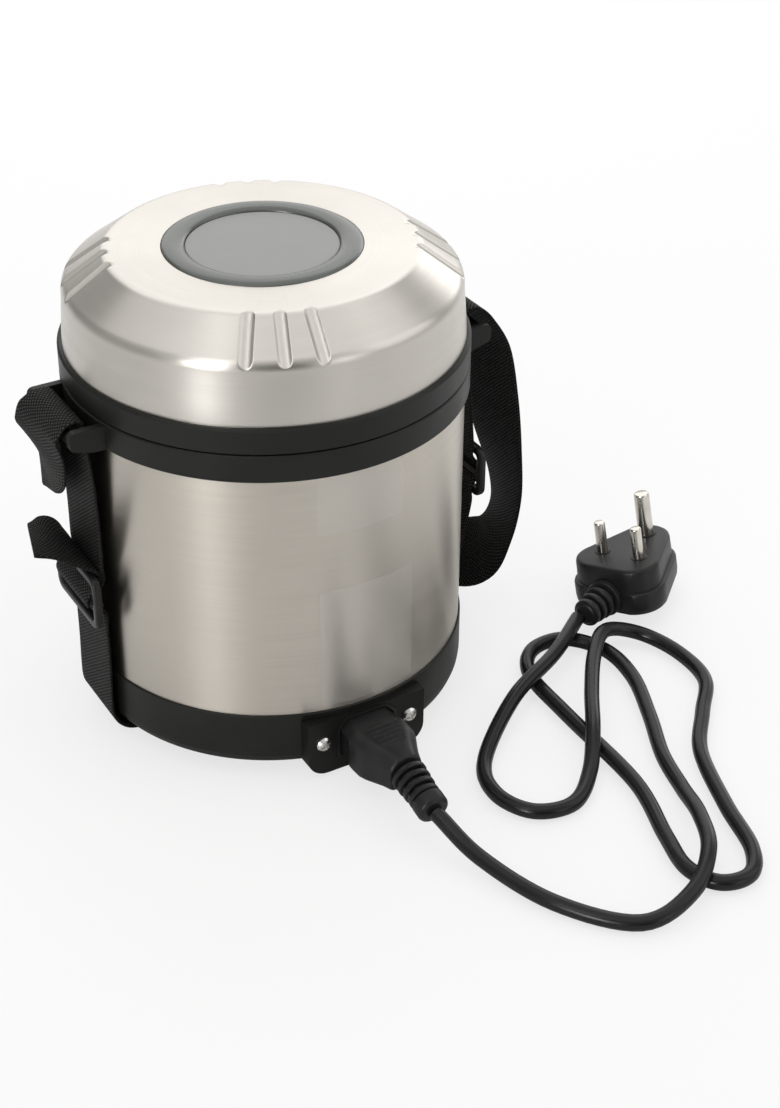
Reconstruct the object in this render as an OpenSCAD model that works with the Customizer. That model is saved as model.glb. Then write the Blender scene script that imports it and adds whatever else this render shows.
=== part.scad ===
// Electric lunch box: an insulated steel canister with a heated well, three stacked
// steel containers, a twist-locking lid, a webbing carrying strap and a mains lead.
// Millimetres. The origin is the centre of the underside, +Z up. The mains inlet faces -Y
// and the strap loops are on +X and -X.

/* [Body] */
// Outer radius of the steel barrel
barrel_r = 80; // [76:1:86]
// How far the black collar and lid band stand out from the steel
band_proud = 2; // [1.5:0.25:3]
// Thickness of the outer steel sheet
sheet_t = 0.8; // [0.6:0.1:1.2]
// Height of the black base, from the floor
base_h = 31; // [29:1:36]
// Visible height of the steel barrel
barrel_h = 109.5; // [108:1:130]
// Height of the black collar at the mouth
collar_h = 11.5; // [11.5:0.5:14]

/* [Lid] */
// Height of the black band round the lid
lid_band_h = 10.6; // [9.5:0.5:14]
// Height of the straight steel wall above the band
lid_wall_h = 24; // [20:1:34]
// Height of the sloping shoulder
lid_slope_h = 13; // [10:1:18]
// Width of the sloping shoulder, seen from above
lid_slope_w = 22; // [18:1:26]
// Radius of the badge disc
badge_r = 37.4; // [30:1:44]
// Radius of one pressed finger flute
flute_r = 3.4; // [3:0.1:4.2]
// Depth of a flute below the shoulder
flute_depth = 1.3; // [0.9:0.1:1.5]
// Angle between neighbouring flutes
flute_pitch = 10.7; // [9:0.1:12]
// Flutes in each group
flutes_per_group = 3; // [1:1:4]
// Angle that the lid turns from open to locked
lock_angle = 30; // [26:1:32]

/* [Well and containers] */
// Distance between the barrel's outside and the well's inside
well_gap = 14; // [12.5:0.25:15]
// Sheet thickness of the well
well_t = 0.6; // [0.5:0.1:1]
// Distance from the well's wall to a container's wall
bowl_gap = 4; // [3.5:0.25:8]
// Room between the top container's lid and the liner of the lid
lid_gap = 4.9; // [4:0.1:10]
// Sheet thickness of a container
bowl_t = 0.6; // [0.5:0.1:0.9]
// Radius of the heating plate
heater_r = 45; // [40:1:50]

/* [Inlet and lead] */
// Distance between the two inlet screws
inlet_screw_gap = 40; // [40:0.5:42]
// Height of the inlet's centre above the floor
inlet_z = 17.5; // [17:0.25:18]
// Diameter of the mains cord
cord_d = 6.5; // [6:0.1:7]
// Length of the connector's moulded grip
grip_l = 24; // [20:1:27]
// Length of the ribbed relief on the connector
relief_l = 22; // [20:1:26]
// Diameter of the plug's two power pins
plug_pin_d = 5.08; // [4.9:0.02:5.1]
// Diameter of the plug's earth pin
plug_earth_d = 7.06; // [6.9:0.02:7.1]
// Thickness of the plug's body
plug_h = 22; // [20:1:24]

/* [Strap] */
// Width of the webbing
strap_w = 32; // [28:1:34]
// Thickness of the webbing
strap_t = 1.4; // [1:0.1:1.6]

/* [Hidden] */
$fn = 96;
eps = 0.01;
fit = 0.1;         // clearance where one fixed piece sits in another
run = 0.3;         // clearance where pieces move past each other
wall = 2.2;        // thickness of the moulded plastic walls

// Heights, from the floor up
z_foot = 3;
z_barrel0 = base_h - 3;
z_collar = base_h + barrel_h;
z_seam = z_collar + collar_h;
z_band = z_seam + 0.4;
z_band_top = z_band + lid_band_h;
z_shoulder = z_band_top + lid_wall_h;
z_top = z_shoulder + lid_slope_h;
z_barrel1 = z_collar + 5.5;

// Radii
band_r = barrel_r + band_proud;
base_r = barrel_r + 0.8;
foot_lip_r = barrel_r - 6.4;
ring_in_r = barrel_r - 1.7;
ledge_r = barrel_r - 3.4;
lid_top_r = barrel_r - lid_slope_w;
well_r = barrel_r - well_gap;
bowl_r = well_r - bowl_gap;

// Bayonet
mouth_r = barrel_r - 3.4;
skirt_r = mouth_r - 2.5;
lug_r = mouth_r - run;
skirt_t = 2.1;
skirt_z = z_collar + 0.7;
lug_h = 4.6;
lug_half = 8;
bump_h = 3.5;
bump_from = lock_angle - 10;
bump_to = lock_angle + 16;
lug_count = 4;

// Well and containers
well_floor_z = 38;
well_flange_z = z_collar - 1.9;
flange_r = barrel_r - sheet_t - 0.4;
bowl_z0 = well_floor_z + well_t + run;
liner_z = z_seam - 5;
bowl_lid_h = 1.2;
bowl_step = 0.3;   // gap from a container's lid to the container above
bowl_pitch = (liner_z - lid_gap + bowl_step - bowl_z0) / 3;
bowl_h = bowl_pitch - bowl_lid_h - bowl_step;
bowl_corner_r = 9;
rim_r = bowl_r + 1.1;

// Inlet
inlet_face_y = -band_r;
inlet_half_w = inlet_screw_gap / 2 + 7;
inlet_low_z = 2;
inlet_top_z = 28;
face_t = 3;
recess_w = 25;
recess_h = 17;
recess_wall = 1.3;
recess_depth = 18;
socket_w = recess_w + 2 * recess_wall;
socket_h = recess_h + 2 * recess_wall;
socket_chamfer = 4.5;
blade_w = 2;
blade_h = 4;
blade_pitch = 7;
blade_offset = 2;

// Lead
nose_clear = 0.4;
nose_out = 8;
grip_y0 = inlet_face_y - nose_out;
grip_y1 = grip_y0 - grip_l;
lead_y = grip_y1 - relief_l;
cord_r = cord_d / 2;

// Route of the cord's centre along the floor, from the connector to the plug. It keeps its
// shape and moves with the connector's end.
cord_start_y = -136;
CORD = [
    [0, cord_start_y, 13], [6, -160, 5.5], [18, -193, 3.6], [40, -218, 3.6], [64, -217, 7.5],
    [82, -203, 10.3], [93, -183, 8], [100, -163, 4], [106, -142, 3.6], [117, -118, 3.6],
    [127, -92, 3.6], [128, -70, 3.6], [117, -54, 3.6], [100, -54, 3.6], [89, -69, 3.6],
    [87, -100, 3.6], [86, -150, 3.6], [77, -183, 3.6], [73, -202, 3.6], [79, -215, 3.6],
    [92, -217, 3.6], [102, -205, 3.6], [109, -180, 3.6], [121, -148, 3.6], [138, -127, 3.6],
    [153, -109, 3.6], [155, -87, 3.6], [147, -69, 5.5], [131, -65, 10.1], [116, -78, 10.4],
    [100, -99, 10.3], [86, -120, 10], [73, -137, 5], [57, -149, 3.6], [40, -145, 3.6],
    [33, -128, 3.6], [41, -108, 3.6], [70, -85, 9.3], [101, -69, 10.5], [126, -51, 10.2]
];

// Plug: middle of its two power pins on the face, and how it lies against the cord
plug_at = [157.6, -37.6, 26.2];
plug_turn = [0, -12, -67];
plug_pin_gap = 19.05;
plug_earth_gap = 22.22;
plug_pin_l = 14.9;
plug_earth_l = 20.6;
plug_corner_r = 12.5;

// Webbing
strap_x = barrel_r + 2.6;
loop_x = band_r + 3.6;
under_z = 1.7;
glide_low_z = 70;
glide_high_z = 78;
glide_lift = 5;
right_lift = 4;
right_gap = 7.4;
tail_x = strap_x + strap_t + run;
glide_x = tail_x + strap_t / 2 + run;

// Points on a circle's arc, centre c, radius r, from angle a to b
function arc(c, r, a, b, n = 6) =
    [for (i = [0:n]) [c[0] + r * cos(a + (b - a) * i / n), c[1] + r * sin(a + (b - a) * i / n)]];

function unit(v) = v / norm(v);

// Smooth curve through points p, with n steps between neighbours
function curve_at(p, i, t) =
    let (
        a = i == 0 ? 2 * p[0] - p[1] : p[i - 1],
        b = p[i],
        c = p[i + 1],
        d = i + 2 < len(p) ? p[i + 2] : 2 * p[i + 1] - p[i]
    )
    (2 * b + (c - a) * t + (2 * a - 5 * b + 4 * c - d) * t * t
        + (3 * b - a - 3 * c + d) * t * t * t) / 2;
function smooth(p, n) =
    concat([for (i = [0:len(p) - 2]) for (k = [0:n - 1]) curve_at(p, i, k / n)], [p[len(p) - 1]]);
function heading(p, i) = unit(p[min(i + 1, len(p) - 1)] - p[max(i - 1, 0)]);

// Closed skin over a list of equal rings of points
module skin(rings) {
    m = len(rings[0]);
    last = (len(rings) - 1) * m;
    sides = [for (i = [0:len(rings) - 2]) for (j = [0:m - 1])
        for (f = [
            [i * m + j, i * m + (j + 1) % m, (i + 1) * m + (j + 1) % m],
            [i * m + j, (i + 1) * m + (j + 1) % m, (i + 1) * m + j]
        ]) f];
    ends = concat(
        [for (j = [1:m - 2]) [0, j + 1, j]],
        [for (j = [1:m - 2]) [last, last + j, last + j + 1]]
    );
    polyhedron(points = [for (r = rings) for (q = r) q], faces = concat(sides, ends));
}

// Round tube along smooth points p
module tube_along(p, r, sides = 8) {
    skin([for (i = [0:len(p) - 1])
        let (
            t = heading(p, i),
            u = unit(cross(t, abs(t[2]) > 0.9 ? [1, 0, 0] : [0, 0, 1])),
            v = cross(t, u)
        )
        [for (j = [0:sides - 1])
            p[i] + r * (cos(360 * j / sides) * u - sin(360 * j / sides) * v)]
    ]);
}

// Flat webbing along pairs of middle point and width direction
module webbing(pairs, steps = 3) {
    mid = smooth([for (q = pairs) q[0]], steps);
    way = smooth([for (q = pairs) q[1]], steps);
    skin([for (i = [0:len(mid) - 1])
        let (
            t = heading(mid, i),
            n = unit(cross(t, way[i])),
            w = cross(n, t) * strap_w / 2,
            h = n * strap_t / 2
        )
        [mid[i] + w + h, mid[i] - w + h, mid[i] - w - h, mid[i] + w - h]
    ]);
}

// Turned piece from an [r, z] outline
module turned(outline) {
    rotate_extrude($fn = 128) polygon(outline);
}

module sector(from, to, r) {
    a = (to - from) / 3;
    polygon(concat([[0, 0]], [for (i = [0:3]) r * [cos(from + a * i), sin(from + a * i)]]));
}

// ---------------------------------------------------------------- lid

shoulder_r = 5;    // rounding where the wall meets the shoulder
brow_r = 4;        // rounding where the shoulder meets the flat top
slope_a = atan2(lid_slope_h, barrel_r - lid_top_r);

// Outline of the lid's steel, moved inward by d
function lid_outline(d) =
    let (
        r0 = barrel_r - d,
        ra = shoulder_r - d,
        ca = [barrel_r - shoulder_r, z_shoulder],
        rb = brow_r - d,
        cb = [lid_top_r, z_top - brow_r]
    )
    concat(
        [[0, z_band_top - 5 - (d > 0 ? 5 : 0)], [r0, z_band_top - 5 - (d > 0 ? 5 : 0)]],
        arc(ca, ra, 0, 90 - slope_a, 5),
        arc(cb, rb, 90 - slope_a, 90, 4),
        [[0, z_top - d]]
    );

// The straight part of the shoulder, from its upper end to its lower end
slope_top = [lid_top_r + brow_r * sin(slope_a), z_top - brow_r + brow_r * cos(slope_a)];
slope_foot = [
    barrel_r - shoulder_r + shoulder_r * sin(slope_a), z_shoulder + shoulder_r * cos(slope_a)
];
face_a = atan2(slope_top[1] - slope_foot[1], slope_foot[0] - slope_top[0]);

// One groove that runs down the shoulder, from the brow out over the wall
module flute(grow) {
    start = 3 + grow;
    run_l = norm(slope_foot - slope_top);
    translate([slope_top[0], 0, slope_top[1]]) rotate([0, 90 + face_a, 0])
        translate([flute_depth - flute_r, 0, -start])
            cylinder(r = flute_r + grow, h = start + run_l + 12, $fn = 40);
}

// Middle of the first group, from +X
flute_turn = -111.4;

module flutes(grow) {
    for (g = [0:3])
        for (i = [0:flutes_per_group - 1])
            rotate([0, 0, 90 * g + flute_turn + (i - (flutes_per_group - 1) / 2) * flute_pitch])
                flute(grow);
}

badge_seat_z = z_top - 2.2;

module lid_shell() {
    color("lightgray") difference() {
        turned(lid_outline(0));
        flutes(0);
        difference() {
            turned(lid_outline(sheet_t));
            flutes(sheet_t);
            translate([0, 0, badge_seat_z - sheet_t])
                cylinder(r = badge_r + fit + 2 + sheet_t, h = 20);
        }
        translate([0, 0, badge_seat_z]) cylinder(r = badge_r + fit, h = 20);
    }
}

module lid_badge() {
    face_r = badge_r - 8.4;
    lift = 1.4;
    color("dimgray") turned(concat(
        [[0, badge_seat_z + eps], [badge_r, badge_seat_z + eps], [badge_r, z_top + 0.2]],
        arc([badge_r - 1.2, z_top + lift - 1.2], 1.2, 0, 90, 4),
        arc([face_r + 1.6, z_top + lift - 1.6], 1.6, 90, 165, 4),
        [[face_r - 0.4, z_top - 0.6], [0, z_top - 0.5]]
    ));
}

module lid_band() {
    groove_z = z_band_top - 5.2;
    web_z = z_band + 2.6;
    color("#1d1e1c") union() {
        turned([
            [band_r, z_band + 0.6], [band_r, z_band_top - 0.9], [band_r - 0.9, z_band_top],
            [barrel_r + fit, z_band_top], [barrel_r + fit, groove_z],
            [barrel_r - sheet_t - fit, groove_z], [barrel_r - sheet_t - fit, groove_z + 2],
            [barrel_r - 2.4, groove_z + 2], [barrel_r - 2.4, web_z],
            [skirt_r - skirt_t, web_z], [skirt_r - skirt_t, skirt_z],
            [skirt_r, skirt_z], [skirt_r, z_band], [band_r - 0.6, z_band]
        ]);
        for (k = [0:lug_count - 1])
            rotate([0, 0, 360 * k / lug_count])
                intersection() {
                    turned([
                        [skirt_r - 0.5, skirt_z + 0.4], [lug_r, skirt_z + 1],
                        [lug_r, skirt_z + 0.4 + lug_h], [skirt_r - 0.5, skirt_z + 0.4 + lug_h]
                    ]);
                    translate([0, 0, skirt_z - 1])
                        linear_extrude(lug_h + 4) sector(-lug_half, lug_half, band_r + 5);
                }
    }
}

module lid_insulation() {
    color("ivory") turned([
        [0, z_seam - 3.4], [skirt_r - skirt_t - 2.6, z_seam - 3.4],
        [skirt_r - skirt_t - 2.6, z_band + 5], [barrel_r - 4, z_band + 5],
        [barrel_r - 4, z_shoulder - 4], [lid_top_r - 4, z_top - 7], [0, z_top - 7]
    ]);
}

module lid_liner() {
    r = skirt_r - skirt_t - run;
    z = liner_z;
    web_z = z_band + 2.6;
    color("whitesmoke") turned([
        [0, z], [r - 6, z], [r, z - 1.4], [r, web_z + fit], [barrel_r - 4.5, web_z + fit],
        [barrel_r - 4.5, web_z + 1.4], [r - 1.5, web_z + 1.4], [r - 1.5, z + 1.4], [0, z + 1.4]
    ]);
}

module lid_seal() {
    z = well_flange_z + well_t + run;
    color("gainsboro") turned([
        [well_r + 1.6, z], [skirt_r - 0.4, z], [skirt_r - 0.4, skirt_z - 0.2],
        [well_r + 4, skirt_z - 0.2], [well_r + 4, skirt_z + 3], [well_r + 2.6, skirt_z + 3.4]
    ]);
}

// ---------------------------------------------------------------- barrel

module barrel_shell() {
    color("silver") turned([
        [barrel_r - sheet_t, z_barrel0], [barrel_r, z_barrel0],
        [barrel_r, z_barrel1], [barrel_r - sheet_t, z_barrel1]
    ]);
}

strap_bar_r = 2.2;
strap_bar_x = band_r + 9.4;
ear_y = strap_w / 2 + 2.2;
ear_t = 3;
ear_z0 = z_collar + 1;
ear_z1 = z_seam - 1;

module strap_ear() {
    r = 2.4;
    tip_x = strap_bar_x + strap_bar_r;
    translate([0, ear_y + ear_t, 0]) rotate([90, 0, 0]) linear_extrude(ear_t)
        polygon(concat(
            [[barrel_r - 3, ear_z0 - 0.6], [barrel_r + 4, ear_z0 - 0.6]],
            arc([tip_x - r, ear_z0 + 1.4 + r], r, -75, 0, 5),
            arc([tip_x - r, ear_z1 - r], r, 0, 90, 5),
            [[barrel_r - 3, ear_z1]]
        ));
}

module strap_loop() {
    bar_z = (ear_z0 + ear_z1) / 2;
    for (s = [0, 1]) mirror([0, s, 0]) strap_ear();
    translate([strap_bar_x, ear_y + eps, bar_z]) rotate([90, 0, 0])
        cylinder(r = strap_bar_r, h = 2 * (ear_y + eps), $fn = 48);
}

module collar() {
    z_in = z_collar - 1.1;
    color("#1d1e1c") difference() {
        union() {
            turned([
                [band_r, z_collar + 0.5], [band_r, z_seam - 0.5], [band_r - 0.5, z_seam],
                [mouth_r, z_seam], [mouth_r, z_in], [barrel_r - sheet_t - fit, z_in],
                [barrel_r - sheet_t - fit, z_barrel1 + fit], [barrel_r + fit, z_barrel1 + fit],
                [barrel_r + fit, z_collar], [band_r - 0.5, z_collar]
            ]);
            for (k = [0:lug_count - 1])
                rotate([0, 0, 360 * k / lug_count])
                    intersection() {
                        turned([
                            [skirt_r + run, skirt_z + 0.4 + lug_h + 1.2],
                            [mouth_r + 0.5, skirt_z + 0.4 + lug_h + 0.4],
                            [mouth_r + 0.5, skirt_z + 0.4 + lug_h + 0.4 + bump_h],
                            [skirt_r + run, skirt_z + 0.4 + lug_h + 0.4 + bump_h]
                        ]);
                        translate([0, 0, z_collar])
                            linear_extrude(collar_h) sector(bump_from, bump_to, band_r + 5);
                    }
            for (s = [0, 180])
                rotate([0, 0, s]) difference() {
                    strap_loop();
                    translate([0, 0, z_collar - 5]) cylinder(r = band_r - 1, h = collar_h + 10);
                }
        }
    }
}

module well() {
    flare = 1.2;
    color("silver") turned(concat(
        [[0, well_floor_z]],
        arc([well_r - 8 + well_t, well_floor_z + 8], 8, -90, 0, 5),
        [[well_r + well_t, well_flange_z - flare], [well_r + well_t + flare, well_flange_z],
         [flange_r, well_flange_z], [flange_r, well_flange_z + well_t],
         [well_r + flare, well_flange_z + well_t], [well_r, well_flange_z + well_t - flare]],
        arc([well_r - 8 + well_t, well_floor_z + 8], 8 - well_t, 0, -90, 5),
        [[0, well_floor_z + well_t]]
    ));
}

module barrel_insulation() {
    color("khaki") turned([
        [well_r + well_t + 0.4, well_floor_z + 10], [well_r + well_t + 0.4, well_flange_z - 1.6],
        [barrel_r - sheet_t - 0.4, well_flange_z - 0.3], [barrel_r - sheet_t - 0.4, base_h + 2],
        [well_r - 4, base_h + 2], [well_r - 4, well_floor_z - 0.6], [well_r, well_floor_z + 2]
    ]);
}

// ---------------------------------------------------------------- base

boss_r = 5;
screw_ring_r = foot_lip_r - 12;
screw_count = 3;
screw_turn = 90;
base_bottom_z = z_foot + 2.3;
base_curve_z = 13;

// Upright outline of the inlet's flat face, with rounded lower corners
module inlet_outline() {
    w = inlet_half_w;
    c = 9;
    polygon(concat(
        [[w, inlet_top_z], [-w, inlet_top_z]],
        arc([-w + c, inlet_low_z + c], c, 180, 270, 8),
        arc([w - c, inlet_low_z + c], c, 270, 360, 8)
    ));
}

// Upright outline of an appliance inlet: a rectangle with its top corners cut
module inlet_shape(w, h, cut) {
    polygon([
        [-w / 2, -h / 2], [w / 2, -h / 2], [w / 2, h / 2 - cut], [w / 2 - cut, h / 2],
        [-w / 2 + cut, h / 2], [-w / 2, h / 2 - cut]
    ]);
}

// Stands an XY outline up and runs it along +Y from y0, h long
module upright(y0, h) {
    translate([0, y0 + h, 0]) rotate([90, 0, 0]) linear_extrude(h) children();
}

module base_ring() {
    curve_r = base_r - foot_lip_r - 1.4;
    color("#20211f") difference() {
        union() {
            turned(concat(
                [[base_r, base_h - 0.4], [base_r - 0.4, base_h], [barrel_r + fit, base_h],
                 [barrel_r + fit, z_barrel0], [ledge_r, z_barrel0], [ledge_r, z_barrel0 - 2],
                 [ring_in_r, z_barrel0 - 4], [ring_in_r, base_curve_z + 1],
                 [foot_lip_r - 0.8, base_bottom_z + 4], [foot_lip_r - 0.8, base_bottom_z]],
                [for (i = [0:5]) [base_r - curve_r * (1 - sin(90 * i / 5)),
                    base_curve_z - (base_curve_z - base_bottom_z) * cos(90 * i / 5)]]
            ));
            difference() {
                upright(inlet_face_y, 12) inlet_outline();
                upright(inlet_face_y + face_t, 12) offset_box();
                cylinder(r = ring_in_r, h = base_h);
            }
            for (k = [0:screw_count - 1])
                rotate([0, 0, 360 * k / screw_count + screw_turn]) {
                    translate([screw_ring_r, 0, z_foot + 2 + fit]) cylinder(r = boss_r, h = 16);
                    translate([screw_ring_r, -1, z_foot + 8])
                        cube([ring_in_r - screw_ring_r + 0.4, 2, 10]);
                }
        }
        upright(inlet_face_y - 1, 14) translate([0, inlet_z])
            inlet_shape(socket_w + 2 * fit, socket_h + 2 * fit, socket_chamfer);
        for (s = [-1, 1])
            translate([s * inlet_screw_gap / 2, inlet_face_y - 1, inlet_z]) rotate([-90, 0, 0])
                cylinder(r = 1.7, h = face_t + 2, $fn = 24);
        upright(inlet_face_y + face_t, 9) offset_box();
        for (k = [0:screw_count - 1])
            rotate([0, 0, 360 * k / screw_count + screw_turn])
                translate([screw_ring_r, 0, 0]) cylinder(r = 1.5 + fit, h = z_foot + 14, $fn = 24);
    }
}

// Hollow behind the inlet's flat face
module offset_box() {
    w = inlet_half_w - wall;
    translate([-w, inlet_low_z + wall + 2.6]) square([2 * w, inlet_top_z - inlet_low_z - 2 * wall - 2.6]);
}

module base_cover() {
    lip_in = foot_lip_r - 0.8 - fit;
    color("#1b1c1a") difference() {
        turned([
            [0, z_foot], [foot_lip_r - 0.6, z_foot], [foot_lip_r, z_foot + 0.6],
            [foot_lip_r, z_foot + 2], [lip_in, z_foot + 2], [lip_in, z_foot + 4.4],
            [lip_in - 1.6, z_foot + 4.4], [lip_in - 1.6, z_foot + 2], [0, z_foot + 2]
        ]);
        translate([-inlet_half_w - 1, -foot_lip_r - 1, 0])
            cube([2 * inlet_half_w + 2, foot_lip_r + 1 - lip_in + 4, z_foot + 10]);
        for (k = [0:screw_count - 1])
            rotate([0, 0, 360 * k / screw_count + screw_turn]) translate([screw_ring_r, 0, 0]) {
                cylinder(r = 1.5 + fit, h = 20, $fn = 24);
                translate([0, 0, z_foot - 1]) cylinder(r = 3.2, h = 2, $fn = 32);
            }
        for (a = [0:30:330])
            rotate([0, 0, a]) translate([22, -1, 0]) cube([16, 2, z_foot + 10]);
    }
}

foot_ring_r = 52;

module rubber_feet() {
    color("#111111") for (a = [45:90:315])
        rotate([0, 0, a]) translate([foot_ring_r, 0, 0])
            cylinder(r1 = 6.4, r2 = 7, h = z_foot, $fn = 48);
}

module base_screws() {
    color("silver") for (k = [0:screw_count - 1])
        rotate([0, 0, 360 * k / screw_count + screw_turn]) translate([screw_ring_r, 0, 0])
            difference() {
                union() {
                    translate([0, 0, z_foot + 0.2]) cylinder(r = 2.9, h = 0.8, $fn = 32);
                    translate([0, 0, z_foot + 0.5]) cylinder(r = 1.5, h = 12, $fn = 24);
                }
                for (q = [0, 90]) rotate([0, 0, q])
                    translate([-1.8, -0.35, z_foot]) cube([3.6, 0.7, 0.7]);
            }
}

// ---------------------------------------------------------------- heater

plate_t = 4;
element_ring_r = heater_r - 12;
element_r = 3.2;
stud_x = 16;

module heater_plate() {
    z = well_floor_z - plate_t;
    color("#b9bcc0") difference() {
        union() {
            translate([0, 0, z]) cylinder(r = heater_r, h = plate_t);
            turned([
                [element_ring_r - 5.4, z - 3], [element_ring_r + 5.4, z - 3],
                [element_ring_r + 6.4, z + 0.5], [element_ring_r - 6.4, z + 0.5]
            ]);
        }
        translate([0, 0, z - 1.2]) rotate_extrude($fn = 96)
            translate([element_ring_r, 0]) circle(r = element_r + 0.05, $fn = 32);
        for (s = [-1, 1]) translate([s * stud_x, 0, z - 1])
            cylinder(r = 2 + fit, h = plate_t + 2, $fn = 24);
    }
}

// Place under one of the element's two terminals
element_gap = 34;
terminal_turn = element_gap / 2 + 7;
function terminal(s, z) =
    [s * element_ring_r * sin(terminal_turn), -element_ring_r * cos(terminal_turn), z];

module heating_element() {
    z = well_floor_z - plate_t - 1.2;
    color("#5a554e") union() {
        rotate([0, 0, -90 + element_gap / 2]) translate([0, 0, z])
            rotate_extrude(angle = 360 - element_gap, $fn = 96)
                translate([element_ring_r, 0]) circle(r = element_r, $fn = 32);
        for (s = [-1, 1])
            translate(terminal(s, z - 9)) cylinder(r = 1.6, h = 8, $fn = 24);
    }
}

module heater_clamp() {
    z = well_floor_z - plate_t;
    color("silver") {
        translate([0, 0, z - 5.2]) difference() {
            linear_extrude(1.6) union() {
                square([2 * stud_x, 12], center = true);
                for (s = [-1, 1]) translate([s * stud_x, 0]) circle(r = 6);
            }
            translate([0, 0, -1]) cylinder(r = 8.4, h = 4, $fn = 48);
            for (s = [-1, 1]) translate([s * stud_x, 0, -1]) cylinder(r = 2 + fit, h = 4, $fn = 24);
        }
        for (s = [-1, 1]) translate([s * stud_x, 0, 0]) {
            translate([0, 0, z - 9]) cylinder(r = 2, h = plate_t + 8.8, $fn = 24);
            translate([0, 0, z - 8]) cylinder(r = 3.8, h = 2.8, $fn = 6);
        }
    }
}

module thermostat() {
    z = well_floor_z - plate_t;
    color("#8d8f92") union() {
        translate([0, 0, z - 9]) cylinder(r = 8, h = 8.8, $fn = 48);
        translate([0, 0, z - 9.8]) cylinder(r = 6, h = 1, $fn = 48);
        for (s = [-1, 1]) translate([-3.2, s * 5 - 0.4, z - 16]) cube([6.4, 0.8, 6.6]);
    }
}

lead_wire_r = 1.2;

module internal_leads() {
    z = well_floor_z - plate_t - 10.4;
    y0 = inlet_face_y + recess_depth + 9.5;
    color("firebrick") {
        tube_along(smooth([[-blade_pitch, y0, inlet_z - blade_offset], [-8, y0 + 8, 17],
            [-10, -40, 20], terminal(-1, z - 1)], 3), lead_wire_r, 8);
        tube_along(smooth([[blade_pitch, y0, inlet_z - blade_offset], [8, y0 + 8, 17],
            [6, -30, 16], [3, -14, 15], [0, -6.9, 17.4]], 3), lead_wire_r, 8);
        tube_along(smooth([[0, 6.9, 17.4], [8, 10, 14], [20, -8, 13], [20, -22, 17],
            terminal(1, z - 1)], 3), lead_wire_r, 8);
    }
    color("seagreen")
        tube_along(smooth([[0, y0, inlet_z + blade_offset], [-1, y0 + 8, 20], [-14, -36, 24],
            [-22, -10, 24], [-stud_x - 5.4, 0, well_floor_z - plate_t - 6.8]], 3), lead_wire_r, 8);
}

// ---------------------------------------------------------------- inlet

module inlet_socket() {
    ear_y0 = inlet_face_y + face_t + fit;
    color("#151614") difference() {
        union() {
            upright(inlet_face_y - 0.4, recess_depth + 3.4) translate([0, inlet_z])
                inlet_shape(socket_w, socket_h, socket_chamfer);
            upright(ear_y0, 2.6) translate([0, inlet_z])
                union() {
                    square([inlet_screw_gap, 9], center = true);
                    for (s = [-1, 1]) translate([s * inlet_screw_gap / 2, 0]) circle(r = 4.5);
                }
        }
        upright(inlet_face_y - 1, recess_depth + 1) translate([0, inlet_z])
            inlet_shape(recess_w, recess_h, socket_chamfer - 0.6);
        for (s = [-1, 1])
            translate([s * inlet_screw_gap / 2, ear_y0 - 1, inlet_z]) rotate([-90, 0, 0])
                cylinder(r = 1.5 + fit, h = 5, $fn = 24);
        for (b = blades()) upright(inlet_face_y, recess_depth + 12) translate(b)
            square([blade_w + 0.1, blade_h + 0.1], center = true);
    }
}

function blades() = [
    [-blade_pitch, inlet_z - blade_offset], [blade_pitch, inlet_z - blade_offset],
    [0, inlet_z + blade_offset]
];

module inlet_pins() {
    color("#c9c3b4") for (b = blades())
        upright(inlet_face_y + (b[0] == 0 ? 1.4 : 2.4), recess_depth + (b[0] == 0 ? 7.6 : 6.6))
            translate(b) square([blade_w, blade_h], center = true);
}

module inlet_screws() {
    head_r = 3.2;
    color("silver") for (s = [-1, 1])
        translate([s * inlet_screw_gap / 2, inlet_face_y, inlet_z]) rotate([90, 0, 0])
            difference() {
                union() {
                    rotate_extrude($fn = 48) polygon([
                        [0, 0], [head_r, 0], [head_r, 0.6], [head_r - 0.8, 1.5], [1.4, 1.9], [0, 1.9]
                    ]);
                    translate([0, 0, -9]) cylinder(r = 1.5, h = 9, $fn = 24);
                }
                for (q = [20, 110]) rotate([0, 0, q])
                    translate([-2.1, -0.4, 0.9]) cube([4.2, 0.8, 2]);
            }
}

// ---------------------------------------------------------------- containers

module bowl(k) {
    z = bowl_z0 + k * bowl_pitch;
    zc = z + bowl_corner_r;
    color("silver") turned(concat(
        [[0, z + 1], [bowl_r - bowl_corner_r - 5, z + 1], [bowl_r - bowl_corner_r - 4, z]],
        arc([bowl_r - bowl_corner_r, zc], bowl_corner_r, -90, 0, 5),
        [[bowl_r, z + bowl_h - 2.4], [rim_r, z + bowl_h - 1.6], [rim_r, z + bowl_h - 0.4],
         [rim_r - 0.4, z + bowl_h], [bowl_r - bowl_t, z + bowl_h]],
        arc([bowl_r - bowl_corner_r, zc], bowl_corner_r - bowl_t, 0, -90, 5),
        [[bowl_r - bowl_corner_r - 4, z + bowl_t], [bowl_r - bowl_corner_r - 5, z + 1 + bowl_t],
         [0, z + 1 + bowl_t]]
    ));
}

module bowl_lid(k) {
    z = bowl_z0 + k * bowl_pitch + bowl_h;
    t = bowl_t;
    out_r = rim_r + 0.2 + t;
    seat_r = bowl_r - 2.5;
    color("gainsboro") turned([
        [0, z + 0.2], [seat_r - 3, z + 0.2], [seat_r - 2, z + fit], [out_r - t, z + fit],
        [out_r - t, z - 4], [out_r, z - 4], [out_r, z + bowl_lid_h - 0.4],
        [out_r - 0.4, z + bowl_lid_h], [0, z + bowl_lid_h]
    ]);
}

// ---------------------------------------------------------------- webbing

// Each run lists middle points and directions of the width, in pairs. x stands for the
// distance from the axis, and w lies along Y.
along = [0, 1, 0];
upward = [0, 0, 1];

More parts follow.
